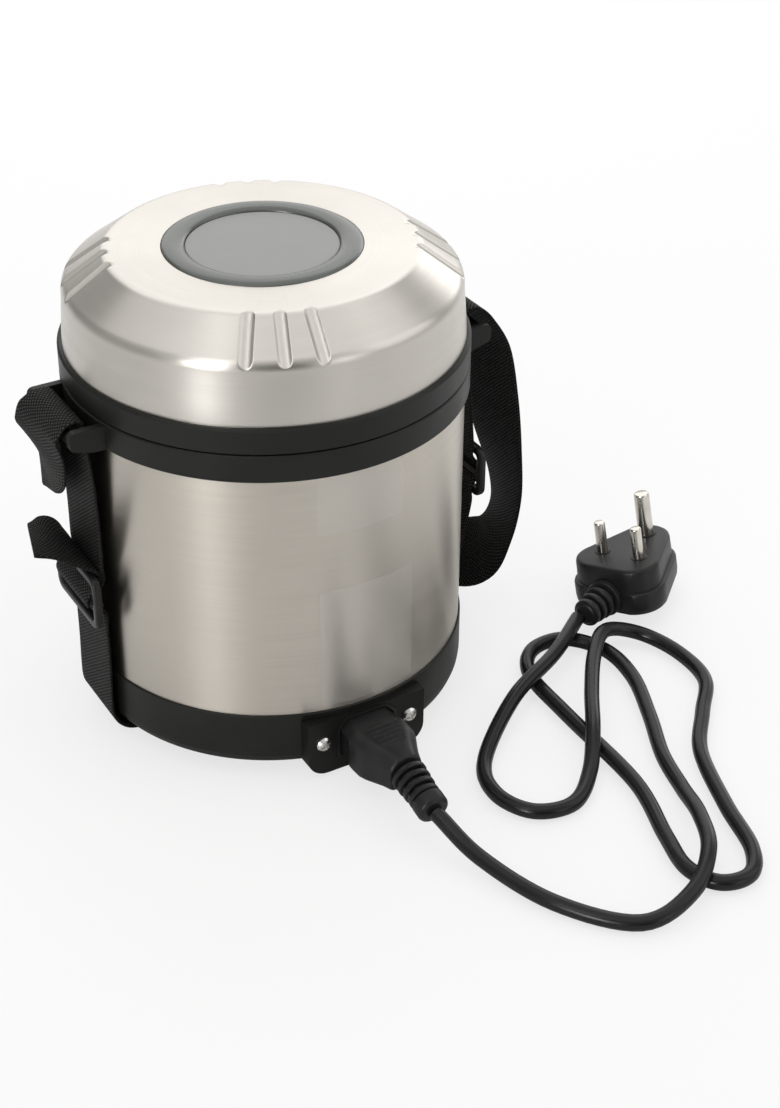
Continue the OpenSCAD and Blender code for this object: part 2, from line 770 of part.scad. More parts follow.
// Under the base and up its outside as far as z = 35
function under_run(s) = [
    [[s * 40, 0, under_z], along], [[s * (base_r - 14), 0, under_z], along],
    [[s * (base_r - 9), 0, under_z + 0.1], along], [[s * (base_r - 5.6), 0, 2.5], along],
    [[s * (base_r - 2.2), 0, 4.6], along], [[s * (base_r + 0.5), 0, 8.2], along],
    [[s * (strap_x + 0.2), 0, 13], along], [[s * (strap_x + 0.3), 0, 22], along]
];

// Up to a glide's middle bar at height z, over the bar and back behind the frame
function over_bar(s, x, z, lift) = [
    [[s * x, 0, z - 15], along], [[s * x, 0, z - 8], along],
    [[s * (x + lift), 0, z - 1.8], along], [[s * (x + lift), 0, z + 1.8], along],
    [[s * x, 0, z + 8], along], [[s * x, 0, z + 15], along]
];

function reversed(p) = [for (i = [len(p) - 1:-1:0]) p[i]];

LEFT_RUN = concat(
    [[[0, 0, under_z], along]],
    under_run(-1),
    [[[-strap_x, 0, 35], along]],
    over_bar(-1, strap_x, glide_low_z, glide_lift),
    [[[-strap_x, 0, 104], along], [[-strap_x - 1, 0, z_collar - 14], along],
     [[-loop_x, 0, z_seam - 9], along], [[-loop_x, 0, z_seam - 2.5], along]]
);

RIGHT_RUN = concat(
    under_run(1),
    [[[strap_x + 1.6, 0, 35], along], [[strap_x + 5, 0, 51], along]],
    over_bar(1, strap_x + right_gap, glide_high_z, right_lift),
    [[[strap_x + 5, 0, 120], along], [[loop_x, 0, z_seam - 10], along],
     [[loop_x, 0, z_seam + 1], along]]
);

module side_strap() {
    color("#161616") webbing(concat(reversed(LEFT_RUN), RIGHT_RUN), 2);
}

module strap_tail() {
    x = -strap_x - glide_lift - strap_t - 2 * run;
    z = glide_low_z;
    color("#161616") webbing([
        [[x, 0, z - 1.8], along], [[x, 0, z + 1.8], along],
        [[-tail_x - 0.2, 0, z + 8], along], [[-tail_x - 0.1, 0, z + 12.4], along],
        [[x + 0.6, 0, z + 18], [0.15, 0.98, 0]], [[x - 4.4, 0.5, z + 22.4], [0.3, 0.95, 0]],
        [[x - 10, 0.5, z + 25], [0.25, 0.95, -0.05]],
        [[x - 15.6, 0.5, z + 26], [0.2, 0.95, -0.15]]
    ], 3);
}

// Point on the round behind the barrel, at angle a and height z
back_r = band_r + 8;
function behind(a, z) = [[back_r * cos(a), back_r * sin(a), z], upward];

module shoulder_strap() {
    x = loop_x;
    z = z_seam;
    color("#161616") webbing([
        [[-x, 0, z - 2.1], along], [[-x - 0.4, 0, z - 0.9], along],
        [[-x - 3.4, 0, z + 0.2], along], [[-x - 8, 0.3, z - 1.2], [-0.1, 1, 0]],
        [[-x - 11.6, 1, z - 6], [-0.1, 1, 0]], [[-x - 11, 3, z - 15], [-0.2, 0.95, 0.15]],
        [[-x - 8.5, 8, z - 24], [-0.15, 0.8, 0.45]], [[-x - 5.5, 17, z - 30], [-0.1, 0.45, 0.85]],
        [[-x - 2, 29, z - 33], [0, 0.1, 1]], [[-x + 7.6, 45, z - 40], upward],
        behind(135, z - 51), behind(115, z - 60), behind(90, z - 72), behind(65, z - 92),
        behind(45, z - 112), [[80, 44, 26], [0, 0.1, 1]], [[90, 27, 19.5], [0, 0.15, 1]],
        [[100, 11, 18.5], [0.25, 0.3, 0.9]], [[108, -1, 26], [0.35, 0.7, 0.6]],
        [[113.5, -5, 41], [0.3, 1, 0.15]], [[114.5, -5, 60], [0.1, 1, 0]],
        [[111, -3, 84], [-0.15, 1, 0]], [[107.5, -1, 108], [-0.3, 1, 0]],
        [[103, 0, 132], [-0.3, 0.95, 0]], [[x + 11, 0, z - 3], [-0.1, 1, 0]],
        [[x + 5, 0, z + 4.4], along], [[x + 0.6, 0, z + 4.2], along], [[x, 0, z + 1.4], along]
    ], 2);
}

// Buckle frame with three bars, standing in the YZ plane with its back at x = 0
module tri_glide() {
    w = strap_w + 9;
    h = 24;
    t = 3.4;
    rim = 3.7;
    r = 5;
    rotate([90, 0, 90]) difference() {
        linear_extrude(t) union() {
            square([w - 2 * r, h], center = true);
            square([w, h - 2 * r], center = true);
            for (x = [-1, 1], y = [-1, 1])
                translate([x * (w / 2 - r), y * (h / 2 - r)]) circle(r = r, $fn = 32);
        }
        translate([0, 0, -1]) linear_extrude(t + 2)
            square([w - 2 * rim, h - 2 * rim], center = true);
    }
    translate([-0.6, -w / 2 + 1, -1.3]) cube([1.8, w - 2, 2.6]);
}

module tri_glide_left() {
    color("#1a1a1a") translate([-glide_x, 0, glide_low_z]) mirror([1, 0, 0])
        tri_glide();
}

module tri_glide_right() {
    color("#1a1a1a") translate([strap_x + right_gap + strap_t / 2 + run, 0, glide_high_z])
        tri_glide();
}

// ---------------------------------------------------------------- lead

module connector_body() {
    nose_w = recess_w - 2 * nose_clear;
    nose_h = recess_h - 2 * nose_clear;
    top = 9.4;
    low = 9.2;
    tip_w = 15;
    tip_h = 15;
    color("#121212") difference() {
        union() {
            upright(grip_y0 - 1, nose_out + recess_depth - 1) translate([0, inlet_z])
                inlet_shape(nose_w, nose_h, socket_chamfer - 0.5);
            intersection() {
                translate([0, 0, inlet_z - low]) linear_extrude(top + low) polygon([
                    [-nose_w / 2 - 1, grip_y0], [nose_w / 2 + 1, grip_y0],
                    [nose_w / 2 + 1, grip_y0 - 9], [tip_w / 2, grip_y1],
                    [-tip_w / 2, grip_y1], [-nose_w / 2 - 1, grip_y0 - 9]
                ]);
                translate([-20, 0, 0]) rotate([90, 0, 90]) linear_extrude(40) polygon([
                    [grip_y0, inlet_z - low], [grip_y0, inlet_z + top],
                    [grip_y0 - 10, inlet_z + top], [grip_y1, inlet_z + tip_h / 2],
                    [grip_y1, inlet_z - tip_h / 2], [grip_y0 - 10, inlet_z - low]
                ]);
            }
            for (i = [0:4]) translate([-7 + i * 0.3, grip_y0 - 4 - 2.4 * i, inlet_z + top - 0.5])
                cube([14 - i * 0.6, 1.1, 1.1]);
        }
        for (b = blades()) upright(grip_y0 + nose_out + 0.5, recess_depth) translate(b)
            square([blade_w + 1, blade_h + 1], center = true);
    }
}

module connector_relief() {
    rib_count = 4;
    base_rr = 7.6;
    tip_rr = 6.4;
    droop = 11;
    cap_l = 6.6;
    rib_l = (relief_l - cap_l) / rib_count;
    color("#121212") difference() {
        translate([0, grip_y1, inlet_z]) rotate([90 + droop, 0, 0]) union() {
            translate([0, 0, 0]) cylinder(r1 = 5.2, r2 = 4.6, h = relief_l, $fn = 48);
            for (i = [0:rib_count - 1])
                translate([0, 0, 0.9 + i * rib_l]) cylinder(
                    r = base_rr - (base_rr - tip_rr) * i / rib_count, h = rib_l * 0.58, $fn = 48);
            translate([0, 0, relief_l - cap_l]) rotate_extrude($fn = 48) polygon([
                [0, 0], [tip_rr + 0.4, 0], [tip_rr + 0.4, cap_l - 1.6], [tip_rr - 1.2, cap_l], [0, cap_l]
            ]);
            for (s = [-1, 1]) translate([s * 5 - 1.2, -2, 0]) cube([2.4, 4, relief_l - 2]);
        }
        translate([-20, grip_y1, 0]) cube([40, 10, 40]);
        translate([0, lead_y + 2.2, 13.6]) rotate([90 + droop, 0, 0]) cylinder(r = cord_r + 0.5, h = 20, $fn = 32);
    }
}

module power_cord() {
    color("#0d0d0d") translate([0, lead_y - cord_start_y, 0])
        tube_along(smooth(CORD, 2), cord_r, 8);
}

module plug_place() {
    translate(plug_at + [0, lead_y - cord_start_y, 0]) rotate(plug_turn) children();
}

// Rounded triangle round the three pins, grown by g
module plug_outline(g = 0) {
    r = plug_corner_r + g;
    a = [-plug_pin_gap / 2 + 1, -3];
    b = [plug_pin_gap / 2 - 1, -3];
    c = [0, plug_earth_gap - 2];
    n = unit([c[1] - b[1], b[0] - c[0]]);
    union() {
        for (p = [a, b, c]) translate(p) circle(r = r, $fn = 64);
        polygon([
            a + [0, -r], b + [0, -r], b + n * r, c + n * r,
            c + [-n[0], n[1]] * r, a + [-n[0], n[1]] * r
        ]);
    }
}

module plug_body() {
    collar_z = 11;
    color("#141414") plug_place() difference() {
        union() {
            translate([0, 0, -collar_z]) linear_extrude(collar_z - 0.8) plug_outline(-0.6);
            translate([0, 0, -0.8]) linear_extrude(0.8) plug_outline(-1.4);
            translate([0, 0, -plug_h]) linear_extrude(plug_h - collar_z) intersection() {
                plug_outline(1.2);
                translate([-40, -plug_corner_r - 3]) square([80, 80]);
            }
        }
        for (p = plug_pin_list()) translate([p[0], p[1], -pin_root_l])
            cylinder(r = p[2] - pin_step + 0.05, h = 20, $fn = 48);
    }
}

module plug_relief() {
    seat_y = -plug_corner_r - 3;
    l = 18;
    color("#141414") plug_place() translate([0, seat_y, -plug_h / 2 - 3]) rotate([90, 0, 0]) difference() {
        union() {
            cylinder(r1 = 7.4, r2 = 5.4, h = l, $fn = 48);
            cylinder(r = 8.6, h = 3, $fn = 48);
            for (i = [0:2]) translate([0, 0, 5 + 4.6 * i]) cylinder(r = 7.5 - 0.6 * i, h = 2.8, $fn = 48);
        }
        translate([0, 0, l - 2.2]) cylinder(r = cord_r + 0.5, h = 3, $fn = 32);
    }
}

// Each pin as [x, y, radius, length out of the face]
function plug_pin_list() = [
    [-plug_pin_gap / 2, 0, plug_pin_d / 2, plug_pin_l],
    [plug_pin_gap / 2, 0, plug_pin_d / 2, plug_pin_l],
    [0, plug_earth_gap, plug_earth_d / 2, plug_earth_l]
];

// The part of each pin inside the plug is thinner, so that its shoulder sits on the face
pin_root_l = 8;
pin_step = 0.6;

module plug_pins() {
    chamfer = 0.7;
    color("#c8c2b6") plug_place() for (p = plug_pin_list()) translate([p[0], p[1], 0])
        rotate_extrude($fn = 48) polygon([
            [0, -pin_root_l], [p[2] - pin_step, -pin_root_l], [p[2] - pin_step, eps],
            [p[2], eps], [p[2], p[3] - chamfer], [p[2] - chamfer, p[3]], [0, p[3]]
        ]);
}

lid_shell();
lid_badge();
lid_band();
lid_insulation();
lid_liner();
lid_seal();
barrel_shell();
collar();
well();
barrel_insulation();
base_ring();
base_cover();
rubber_feet();
base_screws();
heater_plate();
heating_element();
thermostat();
heater_clamp();
internal_leads();
inlet_socket();
inlet_pins();
inlet_screws();
bowl(0);  // bowl_low
bowl(1);  // bowl_mid
bowl(2);  // bowl_top
bowl_lid(0);  // bowl_lid_low
bowl_lid(1);  // bowl_lid_mid
bowl_lid(2);  // bowl_lid_top
side_strap();
strap_tail();
shoulder_strap();
tri_glide_left();
tri_glide_right();
connector_body();
connector_relief();
power_cord();
plug_body();
plug_relief();
plug_pins();
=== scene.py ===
"""Electric lunch box on a pale floor: the dressed model over the CAD frame.

Shapes are written in millimetres, as in part.scad, and MM turns them into metres."""

import math

import bpy
from mathutils import Matrix, Vector


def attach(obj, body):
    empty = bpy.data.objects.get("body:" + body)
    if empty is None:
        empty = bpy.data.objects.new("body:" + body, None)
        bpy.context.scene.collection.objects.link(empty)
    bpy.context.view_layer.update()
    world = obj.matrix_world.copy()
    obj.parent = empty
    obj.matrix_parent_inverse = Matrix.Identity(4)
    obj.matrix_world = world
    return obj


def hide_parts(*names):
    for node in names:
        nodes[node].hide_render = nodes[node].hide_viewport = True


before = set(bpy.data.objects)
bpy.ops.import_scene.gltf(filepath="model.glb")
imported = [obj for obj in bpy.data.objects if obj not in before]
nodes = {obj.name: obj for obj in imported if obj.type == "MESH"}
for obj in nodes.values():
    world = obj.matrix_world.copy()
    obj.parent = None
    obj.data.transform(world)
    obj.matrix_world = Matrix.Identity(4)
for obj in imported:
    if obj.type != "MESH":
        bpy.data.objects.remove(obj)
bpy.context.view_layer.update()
MM = 0.001


# ------------------------------------------------------------------ small tools


def clamp(x, low=0.0, high=1.0):
    return max(low, min(high, x))


def smooth_step(a, b, x):
    t = clamp((x - a) / (b - a))
    return t * t * (3 - 2 * t)


def arc(cx, cy, r, a, b, n):
    """Points on a circle's arc in the plane, angles in degrees."""
    steps = [math.radians(a + (b - a) * i / n) for i in range(n + 1)]
    return [(cx + r * math.cos(t), cy + r * math.sin(t)) for t in steps]


def catmull(points, n):
    """Smooth path through points, n steps between neighbours."""
    p = [Vector(q) for q in points]
    out = []
    for i in range(len(p) - 1):
        b, c = p[i], p[i + 1]
        a = p[i - 1] if i else 2 * b - c
        d = p[i + 2] if i + 2 < len(p) else 2 * c - b
        for k in range(n):
            t = k / n
            out.append(
                (2 * b + (c - a) * t + (2 * a - 5 * b + 4 * c - d) * t**2
                 + (3 * b - a - 3 * c + d) * t**3) / 2
            )
    return out + [p[-1]]


def heading(path, i):
    """Direction of a path at its point i."""
    return (path[min(i + 1, len(path) - 1)] - path[max(i - 1, 0)]).normalized()


def add_object(name, mesh, body, material):
    """Puts a piece in the scene, on its CAD body and in its colour slot."""
    piece = bpy.data.objects.new(name, mesh)
    bpy.context.scene.collection.objects.link(piece)
    mesh.materials.append(material)
    if body:
        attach(piece, body)
    return piece


def build_mesh(name, verts, faces, sharp=40, uvs=None):
    """Smooth-shaded mesh in metres, with edges over sharp degrees kept crisp."""
    mesh = bpy.data.meshes.new(name)
    mesh.from_pydata([tuple(v) for v in verts], [], faces)
    if uvs:
        layer = mesh.uv_layers.new(name="UVMap")
        for loop in mesh.loops:
            layer.data[loop.index].uv = uvs[loop.vertex_index]
    mesh.validate()
    mesh.shade_smooth()
    mesh.set_sharp_from_angle(angle=math.radians(sharp))
    return mesh


def grid_faces(rows, cols, wrap_cols=True, wrap_rows=False):
    """Quads between rows of points, with each row and the rows closed up where asked."""
    faces = []
    for i in range(rows if wrap_rows else rows - 1):
        for j in range(cols if wrap_cols else cols - 1):
            k = (j + 1) % cols
            m = (i + 1) % rows
            faces.append((i * cols + j, i * cols + k, m * cols + k, m * cols + j))
    return faces


def lathe(name, outline, body, material, segments, place=None):
    """Turned piece from an (r, z) outline in mm, closed or from the axis back to the axis."""
    verts, rings = [], []
    for r, z in outline:
        if r < 1e-6:
            rings.append([len(verts)])
            verts.append(Vector((0, 0, z * MM)))
            continue
        ring = []
        for j in range(segments):
            t = 2 * math.pi * j / segments
            ring.append(len(verts))
            verts.append(Vector((r * math.cos(t), r * math.sin(t), z)) * MM)
        rings.append(ring)
    faces = []
    count = len(rings)
    closed = len(rings[0]) > 1
    for i in range(count if closed else count - 1):
        a, b = rings[i], rings[(i + 1) % count]
        for j in range(segments):
            k = (j + 1) % segments
            if len(a) == 1:
                faces.append((a[0], b[k], b[j]))
            elif len(b) == 1:
                faces.append((a[j], a[k], b[0]))
            else:
                faces.append((a[j], a[k], b[k], b[j]))
    if place:
        verts = [place @ v for v in verts]
    return add_object(name, build_mesh(name, verts, faces, 35), body, material)


def loft(name, rings, body, material, sharp=50):
    """Closed skin over equal rings of points in mm, with flat ends."""
    cols = len(rings[0])
    verts = [Vector(p) * MM for ring in rings for p in ring]
    faces = grid_faces(len(rings), cols)
    faces.append(tuple(reversed(range(cols))))
    faces.append(tuple(range((len(rings) - 1) * cols, len(rings) * cols)))
    return add_object(name, build_mesh(name, verts, faces, sharp), body, material)


# ------------------------------------------------------------------ materials


class Tree:
    """Short names for adding and joining nodes."""

    def __init__(self, owner):
        owner.use_nodes = True
        self.tree = owner.node_tree

    def add(self, kind, **props):
        node = self.tree.nodes.new(kind)
        for key, value in props.items():
            setattr(node, key, value)
        return node

    def link(self, a, b):
        self.tree.links.new(a, b)

    def math(self, operation, *values):
        """A maths node; each value is a number or another node's output."""
        node = self.add("ShaderNodeMath", operation=operation)
        for i, value in enumerate(values):
            if isinstance(value, (int, float)):
                node.inputs[i].default_value = value
            else:
                self.link(value, node.inputs[i])
        return node.outputs[0]


class Nodes(Tree):
    """One material's nodes, round a Principled BSDF."""

    def __init__(self, name, colour, rough, metal=0.0):
        self.material = bpy.data.materials.new(name)
        super().__init__(self.material)
        self.bsdf = self.tree.nodes["Principled BSDF"]
        self.colour = colour
        self.bsdf.inputs["Base Color"].default_value = (*colour, 1)
        self.bsdf.inputs["Roughness"].default_value = rough
        self.bsdf.inputs["Metallic"].default_value = metal

    def set(self, **values):
        """Constant values for the BSDF's sockets, by name with _ for a space."""
        for key, value in values.items():
            self.bsdf.inputs[key.replace("_", " ")].default_value = value

    def place(self, scale=(1, 1, 1)):
        """Object coordinates in metres, times scale."""
        coord = self.add("ShaderNodeTexCoord")
        mapping = self.add("ShaderNodeMapping")
        mapping.inputs["Scale"].default_value = scale
        self.link(coord.outputs["Object"], mapping.inputs["Vector"])
        return mapping.outputs[0]

    def turned_place(self, across, along):
        """Coordinates whose detail runs in rings round the Z axis."""
        coord = self.add("ShaderNodeTexCoord")
        split = self.add("ShaderNodeSeparateXYZ")
        self.link(coord.outputs["Object"], split.inputs[0])
        x, y, z = split.outputs
        radius = self.math("SQRT", self.math("ADD", self.math("MULTIPLY", x, x),
                                             self.math("MULTIPLY", y, y)))
        out = self.add("ShaderNodeCombineXYZ")
        self.link(self.math("MULTIPLY", x, along), out.inputs[0])
        self.link(self.math("MULTIPLY", y, along), out.inputs[1])
        self.link(self.math("MULTIPLY", self.math("SUBTRACT", z, radius), across), out.inputs[2])
        return out.outputs[0]

    def noise(self, vector, scale=1.0, detail=2.0, rough=0.5):
        """Soft random values, about 0.3 to 0.7."""
        node = self.add("ShaderNodeTexNoise")
        node.inputs["Scale"].default_value = scale
        node.inputs["Detail"].default_value = detail
        node.inputs["Roughness"].default_value = rough
        self.link(vector, node.inputs["Vector"])
        return node.outputs["Fac"]

    def span(self, value, low, high, from_low, from_high):
        """Maps from_low..from_high to low..high, held at the ends."""
        node = self.add("ShaderNodeMapRange")
        for key, number in (("From Min", from_low), ("From Max", from_high),
                            ("To Min", low), ("To Max", high)):
            node.inputs[key].default_value = number
        self.link(value, node.inputs["Value"])
        return node.outputs[0]

    def tint(self, value, other, low, high):
        """Mixes the base colour with another as value goes from low to high."""
        mix = self.add("ShaderNodeMix", data_type="RGBA")
        mix.inputs["A"].default_value = (*self.colour, 1)
        mix.inputs["B"].default_value = (*other, 1)
        current = self.bsdf.inputs["Base Color"]
        if current.is_linked:
            self.link(current.links[0].from_socket, mix.inputs["A"])
        self.link(self.span(value, 0.0, 1.0, low, high), mix.inputs["Factor"])
        self.link(mix.outputs["Result"], current)

    def roughen(self, value, low, high, from_low=0.3, from_high=0.7):
        """Lets the roughness follow value, between low and high."""
        self.link(self.span(value, low, high, from_low, from_high), self.bsdf.inputs["Roughness"])

    def bump(self, height, strength, distance):
        """Fine relief from a height, at most distance in metres."""
        node = self.add("ShaderNodeBump")
        node.inputs["Strength"].default_value = strength
        node.inputs["Distance"].default_value = distance
        self.link(height, node.inputs["Height"])
        self.link(node.outputs[0], self.bsdf.inputs["Normal"])


def shade(colour, k):
    """The colour times k."""
    return tuple(clamp(c * k) for c in colour)


def turned_steel(name, colour, rough, spread=0.05):
    """Sheet steel brushed in fine rings round the vertical axis, with darker upright patches: partly
    real smears, partly painted reflection bands.
    """
    m = Nodes(name, colour, rough, 1.0)
    lines = m.noise(m.turned_place(5200, 14), detail=3.0, rough=0.6)
    smears_and_reflection_bands = m.noise(m.place((26, 26, 9)), detail=3.0)
    streaks = m.noise(m.turned_place(700, 6), detail=3.0)
    # Darker upright patches: partly real smears, partly painted reflection bands.
    m.tint(smears_and_reflection_bands, shade(colour, 0.9), 0.42, 0.66)
    m.tint(streaks, shade(colour, 0.96), 0.45, 0.7)
    m.tint(lines, shade(colour, 1.0 - spread), 0.4, 0.68)
    m.roughen(streaks, rough - 0.02, rough + 0.03)
    m.bump(lines, 0.1, 0.00001)
    m.set(Anisotropic=0.75, Anisotropic_Rotation=0.25)
    tangent = m.add("ShaderNodeTangent", direction_type="RADIAL", axis="Z")
    m.link(tangent.outputs[0], m.bsdf.inputs["Tangent"])
    return m.material


def plain_metal(name, colour, rough, scale=600):
    """Cast, turned or plated metal with a fine grain and slightly darker patches."""
    m = Nodes(name, colour, rough, 1.0)
    fine = m.noise(m.place(), scale, 3.0)
    broad = m.noise(m.place(), 90, 2.0)
    m.tint(broad, shade(colour, 0.82), 0.42, 0.66)
    m.roughen(fine, rough - 0.05, rough + 0.08)
    m.bump(fine, 0.08, 0.00004)
    return m.material


def moulded(name, colour, rough, grain=2200, depth=0.00003, strength=0.18, wear=1.5,
            gloss=0.24):
    """Injection-moulded plastic or rubber with a fine grain and slight rubbed patches."""
    m = Nodes(name, colour, rough)
    fine = m.noise(m.place(), grain, 2.0)
    broad = m.noise(m.place(), 46, 3.0)
    m.tint(broad, shade(colour, wear), 0.45, 0.75)
    m.roughen(broad, rough - 0.05, rough + 0.07)
    m.bump(fine, strength, depth)
    m.set(Specular_IOR_Level=gloss)
    return m.material


def woven(name, colour, painted_glint):
    """Dense webbing: raised picks in offset rows, from UVs in metres, with the picks' tops painted
    lighter as a highlight.
    """
    pitch_u, pitch_v = 0.0021, 0.0016
    m = Nodes(name, colour, 0.7)
    coord = m.add("ShaderNodeTexCoord")
    split = m.add("ShaderNodeSeparateXYZ")
    m.link(coord.outputs["UV"], split.inputs[0])
    u, v = split.outputs[0], split.outputs[1]
    ku, kv = 2 * math.pi / pitch_u, 2 * math.pi / pitch_v
    across = m.math("SINE", m.math("MULTIPLY", u, ku))
    shift = m.math("MULTIPLY", m.math("SIGN", across), math.pi / 2)
    along = m.math("SINE", m.math("ADD", m.math("MULTIPLY", v, kv), shift))
    pick = m.math("MULTIPLY", m.math("ABSOLUTE", across), m.math("MULTIPLY_ADD", along, 0.5, 0.5))
    fuzz = m.noise(m.place(), 2600, 2.0)
    broad = m.noise(m.place(), 42, 2.0)
    height = m.math("MULTIPLY_ADD", fuzz, 0.25, pick)
    m.tint(broad, shade(colour, 1.6), 0.5, 0.8)
    # Painted highlight: the tops of the picks are tinted lighter.
    m.tint(m.math("MULTIPLY", pick, m.math("MULTIPLY_ADD", fuzz, 0.8, 0.6)), painted_glint, 0.45, 0.95)
    m.roughen(pick, 0.8, 0.5, 0.2, 1.0)
    m.bump(height, 0.8, 0.0004)
    m.set(Specular_IOR_Level=0.22)
    return m.material


STEEL = turned_steel("steel_outer", (0.57, 0.53, 0.47), 0.33)
# The lid's steel is a lighter copy of the barrel's steel: painted light, for the lid's brighter
# reflections of the lamps above.
STEEL_LID_LIT = turned_steel("steel_lid_lit", (0.6, 0.57, 0.525), 0.32)
STEEL_IN = turned_steel("steel_inner", (0.68, 0.67, 0.65), 0.29, spread=0.03)
BLACK = moulded("plastic_body", (0.0075, 0.008, 0.0065), 0.42)
BADGE_RIM = moulded("badge_rim", (0.056, 0.062, 0.052), 0.26, wear=1.15, gloss=0.9)
BADGE_FACE = moulded("badge_face", (0.29, 0.29, 0.282), 0.42, 1700, 0.00004, 0.3, 1.08)
LINER = moulded("liner_white", (0.8, 0.8, 0.77), 0.3, wear=0.94)
FOAM = moulded("foam", (0.78, 0.74, 0.58), 0.85, 500, 0.0004, 0.6, 0.85)
SEAL = moulded("silicone", (0.62, 0.62, 0.6), 0.42, wear=1.1)
RUBBER = moulded("foot_rubber", (0.02, 0.02, 0.02), 0.62, 900, 0.00006, 0.3)
ZINC = plain_metal("zinc_screw", (0.74, 0.73, 0.7), 0.24)
CAST = plain_metal("cast_plate", (0.62, 0.63, 0.64), 0.4, 900)
TUBE = plain_metal("element_tube", (0.3, 0.28, 0.26), 0.42)
CAN = plain_metal("switch_can", (0.5, 0.5, 0.5), 0.36)
SLEEVE = moulded("wire_sleeve", (0.42, 0.05, 0.04), 0.6, 900, 0.0001, 0.5)
SOCKET = moulded("inlet_black", (0.014, 0.014, 0.013), 0.36)
PIN = plain_metal("pin_nickel", (0.7, 0.665, 0.6), 0.2, 1100)
# The webbing's third colour is a painted highlight on its picks.
WEB = woven("webbing", (0.0035, 0.0038, 0.0034), (0.062, 0.063, 0.058))
BUCKLE = moulded("buckle_black", (0.012, 0.012, 0.012), 0.3)
MOULD = moulded("lead_moulding", (0.0135, 0.0135, 0.0145), 0.36, 1500)
CORD_SKIN = moulded("cord_sheath", (0.0115, 0.0115, 0.0125), 0.24, 900, 0.00003, 0.12)


def film(name):
    """Bare clear sticker: mostly see-through, with a faint sheen."""
    m = Nodes(name, (0.93, 0.93, 0.93), 0.2)
    m.set(Alpha=0.05)
    m.roughen(m.noise(m.place(), 30, 2.0), 0.14, 0.22)
    return m.material


FILM = film("clear_film")

# Every CAD node has a look, also the nodes that a piece replaces or that lie inside
CAD_LOOKS = {
    "barrel_shell": STEEL, "lid_shell": STEEL_LID_LIT, "lid_badge": BADGE_RIM,
    "lid_band": BLACK, "collar": BLACK, "base_ring": BLACK, "base_cover": BLACK,
    "lid_insulation": FOAM, "barrel_insulation": FOAM, "lid_liner": LINER,
    "lid_seal": SEAL, "well": STEEL_IN, "rubber_feet": RUBBER, "base_screws": ZINC,
    "heater_plate": CAST, "heating_element": TUBE, "thermostat": CAN,
    "heater_clamp": ZINC, "internal_leads": SLEEVE, "inlet_socket": SOCKET,
    "inlet_pins": PIN, "inlet_screws": ZINC, "bowl_low": STEEL_IN, "bowl_mid": STEEL_IN,
    "bowl_top": STEEL_IN, "bowl_lid_low": STEEL_IN, "bowl_lid_mid": STEEL_IN,
    "bowl_lid_top": STEEL_IN, "side_strap": WEB, "strap_tail": WEB,
    "shoulder_strap": WEB, "tri_glide_left": BUCKLE, "tri_glide_right": BUCKLE,
    "connector_body": MOULD, "connector_relief": MOULD, "power_cord": CORD_SKIN,
    "plug_body": MOULD, "plug_relief": MOULD, "plug_pins": PIN,
}
for node_name, look in CAD_LOOKS.items():
    mesh = nodes[node_name].data
    mesh.materials.clear()
    mesh.materials.append(look)

# ------------------------------------------------------------------ camera

# TURN goes round the object's axis; the other angles are the camera's own, in radians
CAMERA_AT = Vector((-0.3249, -0.6516, 0.5329))
TURN, PITCH, YAW, ROLL = math.radians(-26.5), 0.5807, 0.0693, 0.0089
SENSOR, LENS = 36, 66.33


def make_camera():
    """The photo's camera, solved from the ellipses of the canister's bands."""
    turn = Matrix.Rotation(TURN, 3, "Z")
    ahead = turn @ Vector((math.sin(YAW) * math.cos(PITCH), math.cos(YAW) * math.cos(PITCH),
                           -math.sin(PITCH)))
    right = turn @ Vector((math.cos(YAW), -math.sin(YAW), 0))
    up = right.cross(ahead)
    rolled_right = math.cos(ROLL) * right + math.sin(ROLL) * up
    rolled_up = -math.sin(ROLL) * right + math.cos(ROLL) * up
    data = bpy.data.cameras.new("camera")
    data.sensor_width = SENSOR
    data.lens = LENS
    data.clip_start, data.clip_end = 0.05, 20
    cam = bpy.data.objects.new("camera", data)
    bpy.context.scene.collection.objects.link(cam)
    axes = Matrix((rolled_right, rolled_up, -ahead)).transposed()
    cam.matrix_world = Matrix.Translation(CAMERA_AT) @ axes.to_4x4()
    bpy.context.scene.camera = cam


make_camera()

# ------------------------------------------------------------------ cord

# Middle line of the lead: out of the connector, through its loops and back to the plug
CORD = [
    (0, -136, 13), (6, -160, 5.5), (18, -193, 3.6), (40, -218, 3.6), (64, -217, 7.5),
    (82, -203, 10.3), (93, -183, 8), (100, -163, 4), (106, -142, 3.6), (117, -118, 3.6),
    (127, -92, 3.6), (128, -70, 3.6), (117, -54, 3.6), (100, -54, 3.6), (89, -69, 3.6),
    (87, -100, 3.6), (86, -150, 3.6), (77, -183, 3.6), (73, -202, 3.6), (79, -215, 3.6),
    (92, -217, 3.6), (102, -205, 3.6), (109, -180, 3.6), (121, -148, 3.6), (138, -127, 3.6),
    (153, -109, 3.6), (155, -87, 3.6), (147, -69, 5.5), (131, -65, 10.1), (116, -78, 10.4),
    (100, -99, 10.3), (86, -120, 10), (73, -137, 5), (57, -149, 3.6), (40, -145, 3.6),
    (33, -128, 3.6), (41, -108, 3.6), (70, -85, 9.3), (101, -69, 10.5), (126, -51, 10.2),
]
CORD_R = 3.25
cord_path = catmull(CORD, 8)


def make_cord():
    """Round sheath along the middle line."""
    curve = bpy.data.curves.new("cord", "CURVE")
    curve.dimensions = "3D"
    spline = curve.splines.new("POLY")
    spline.points.add(len(cord_path) - 1)
    for point, place in zip(spline.points, cord_path):
        point.co = (*(place * MM), 1)
    curve.bevel_depth = CORD_R * MM
    curve.bevel_resolution = 5
    curve.use_fill_caps = True
    piece = add_object("cord", curve, "lead", CORD_SKIN)
    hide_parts("power_cord")
    return piece


cord = make_cord()

# ------------------------------------------------------------------ lid

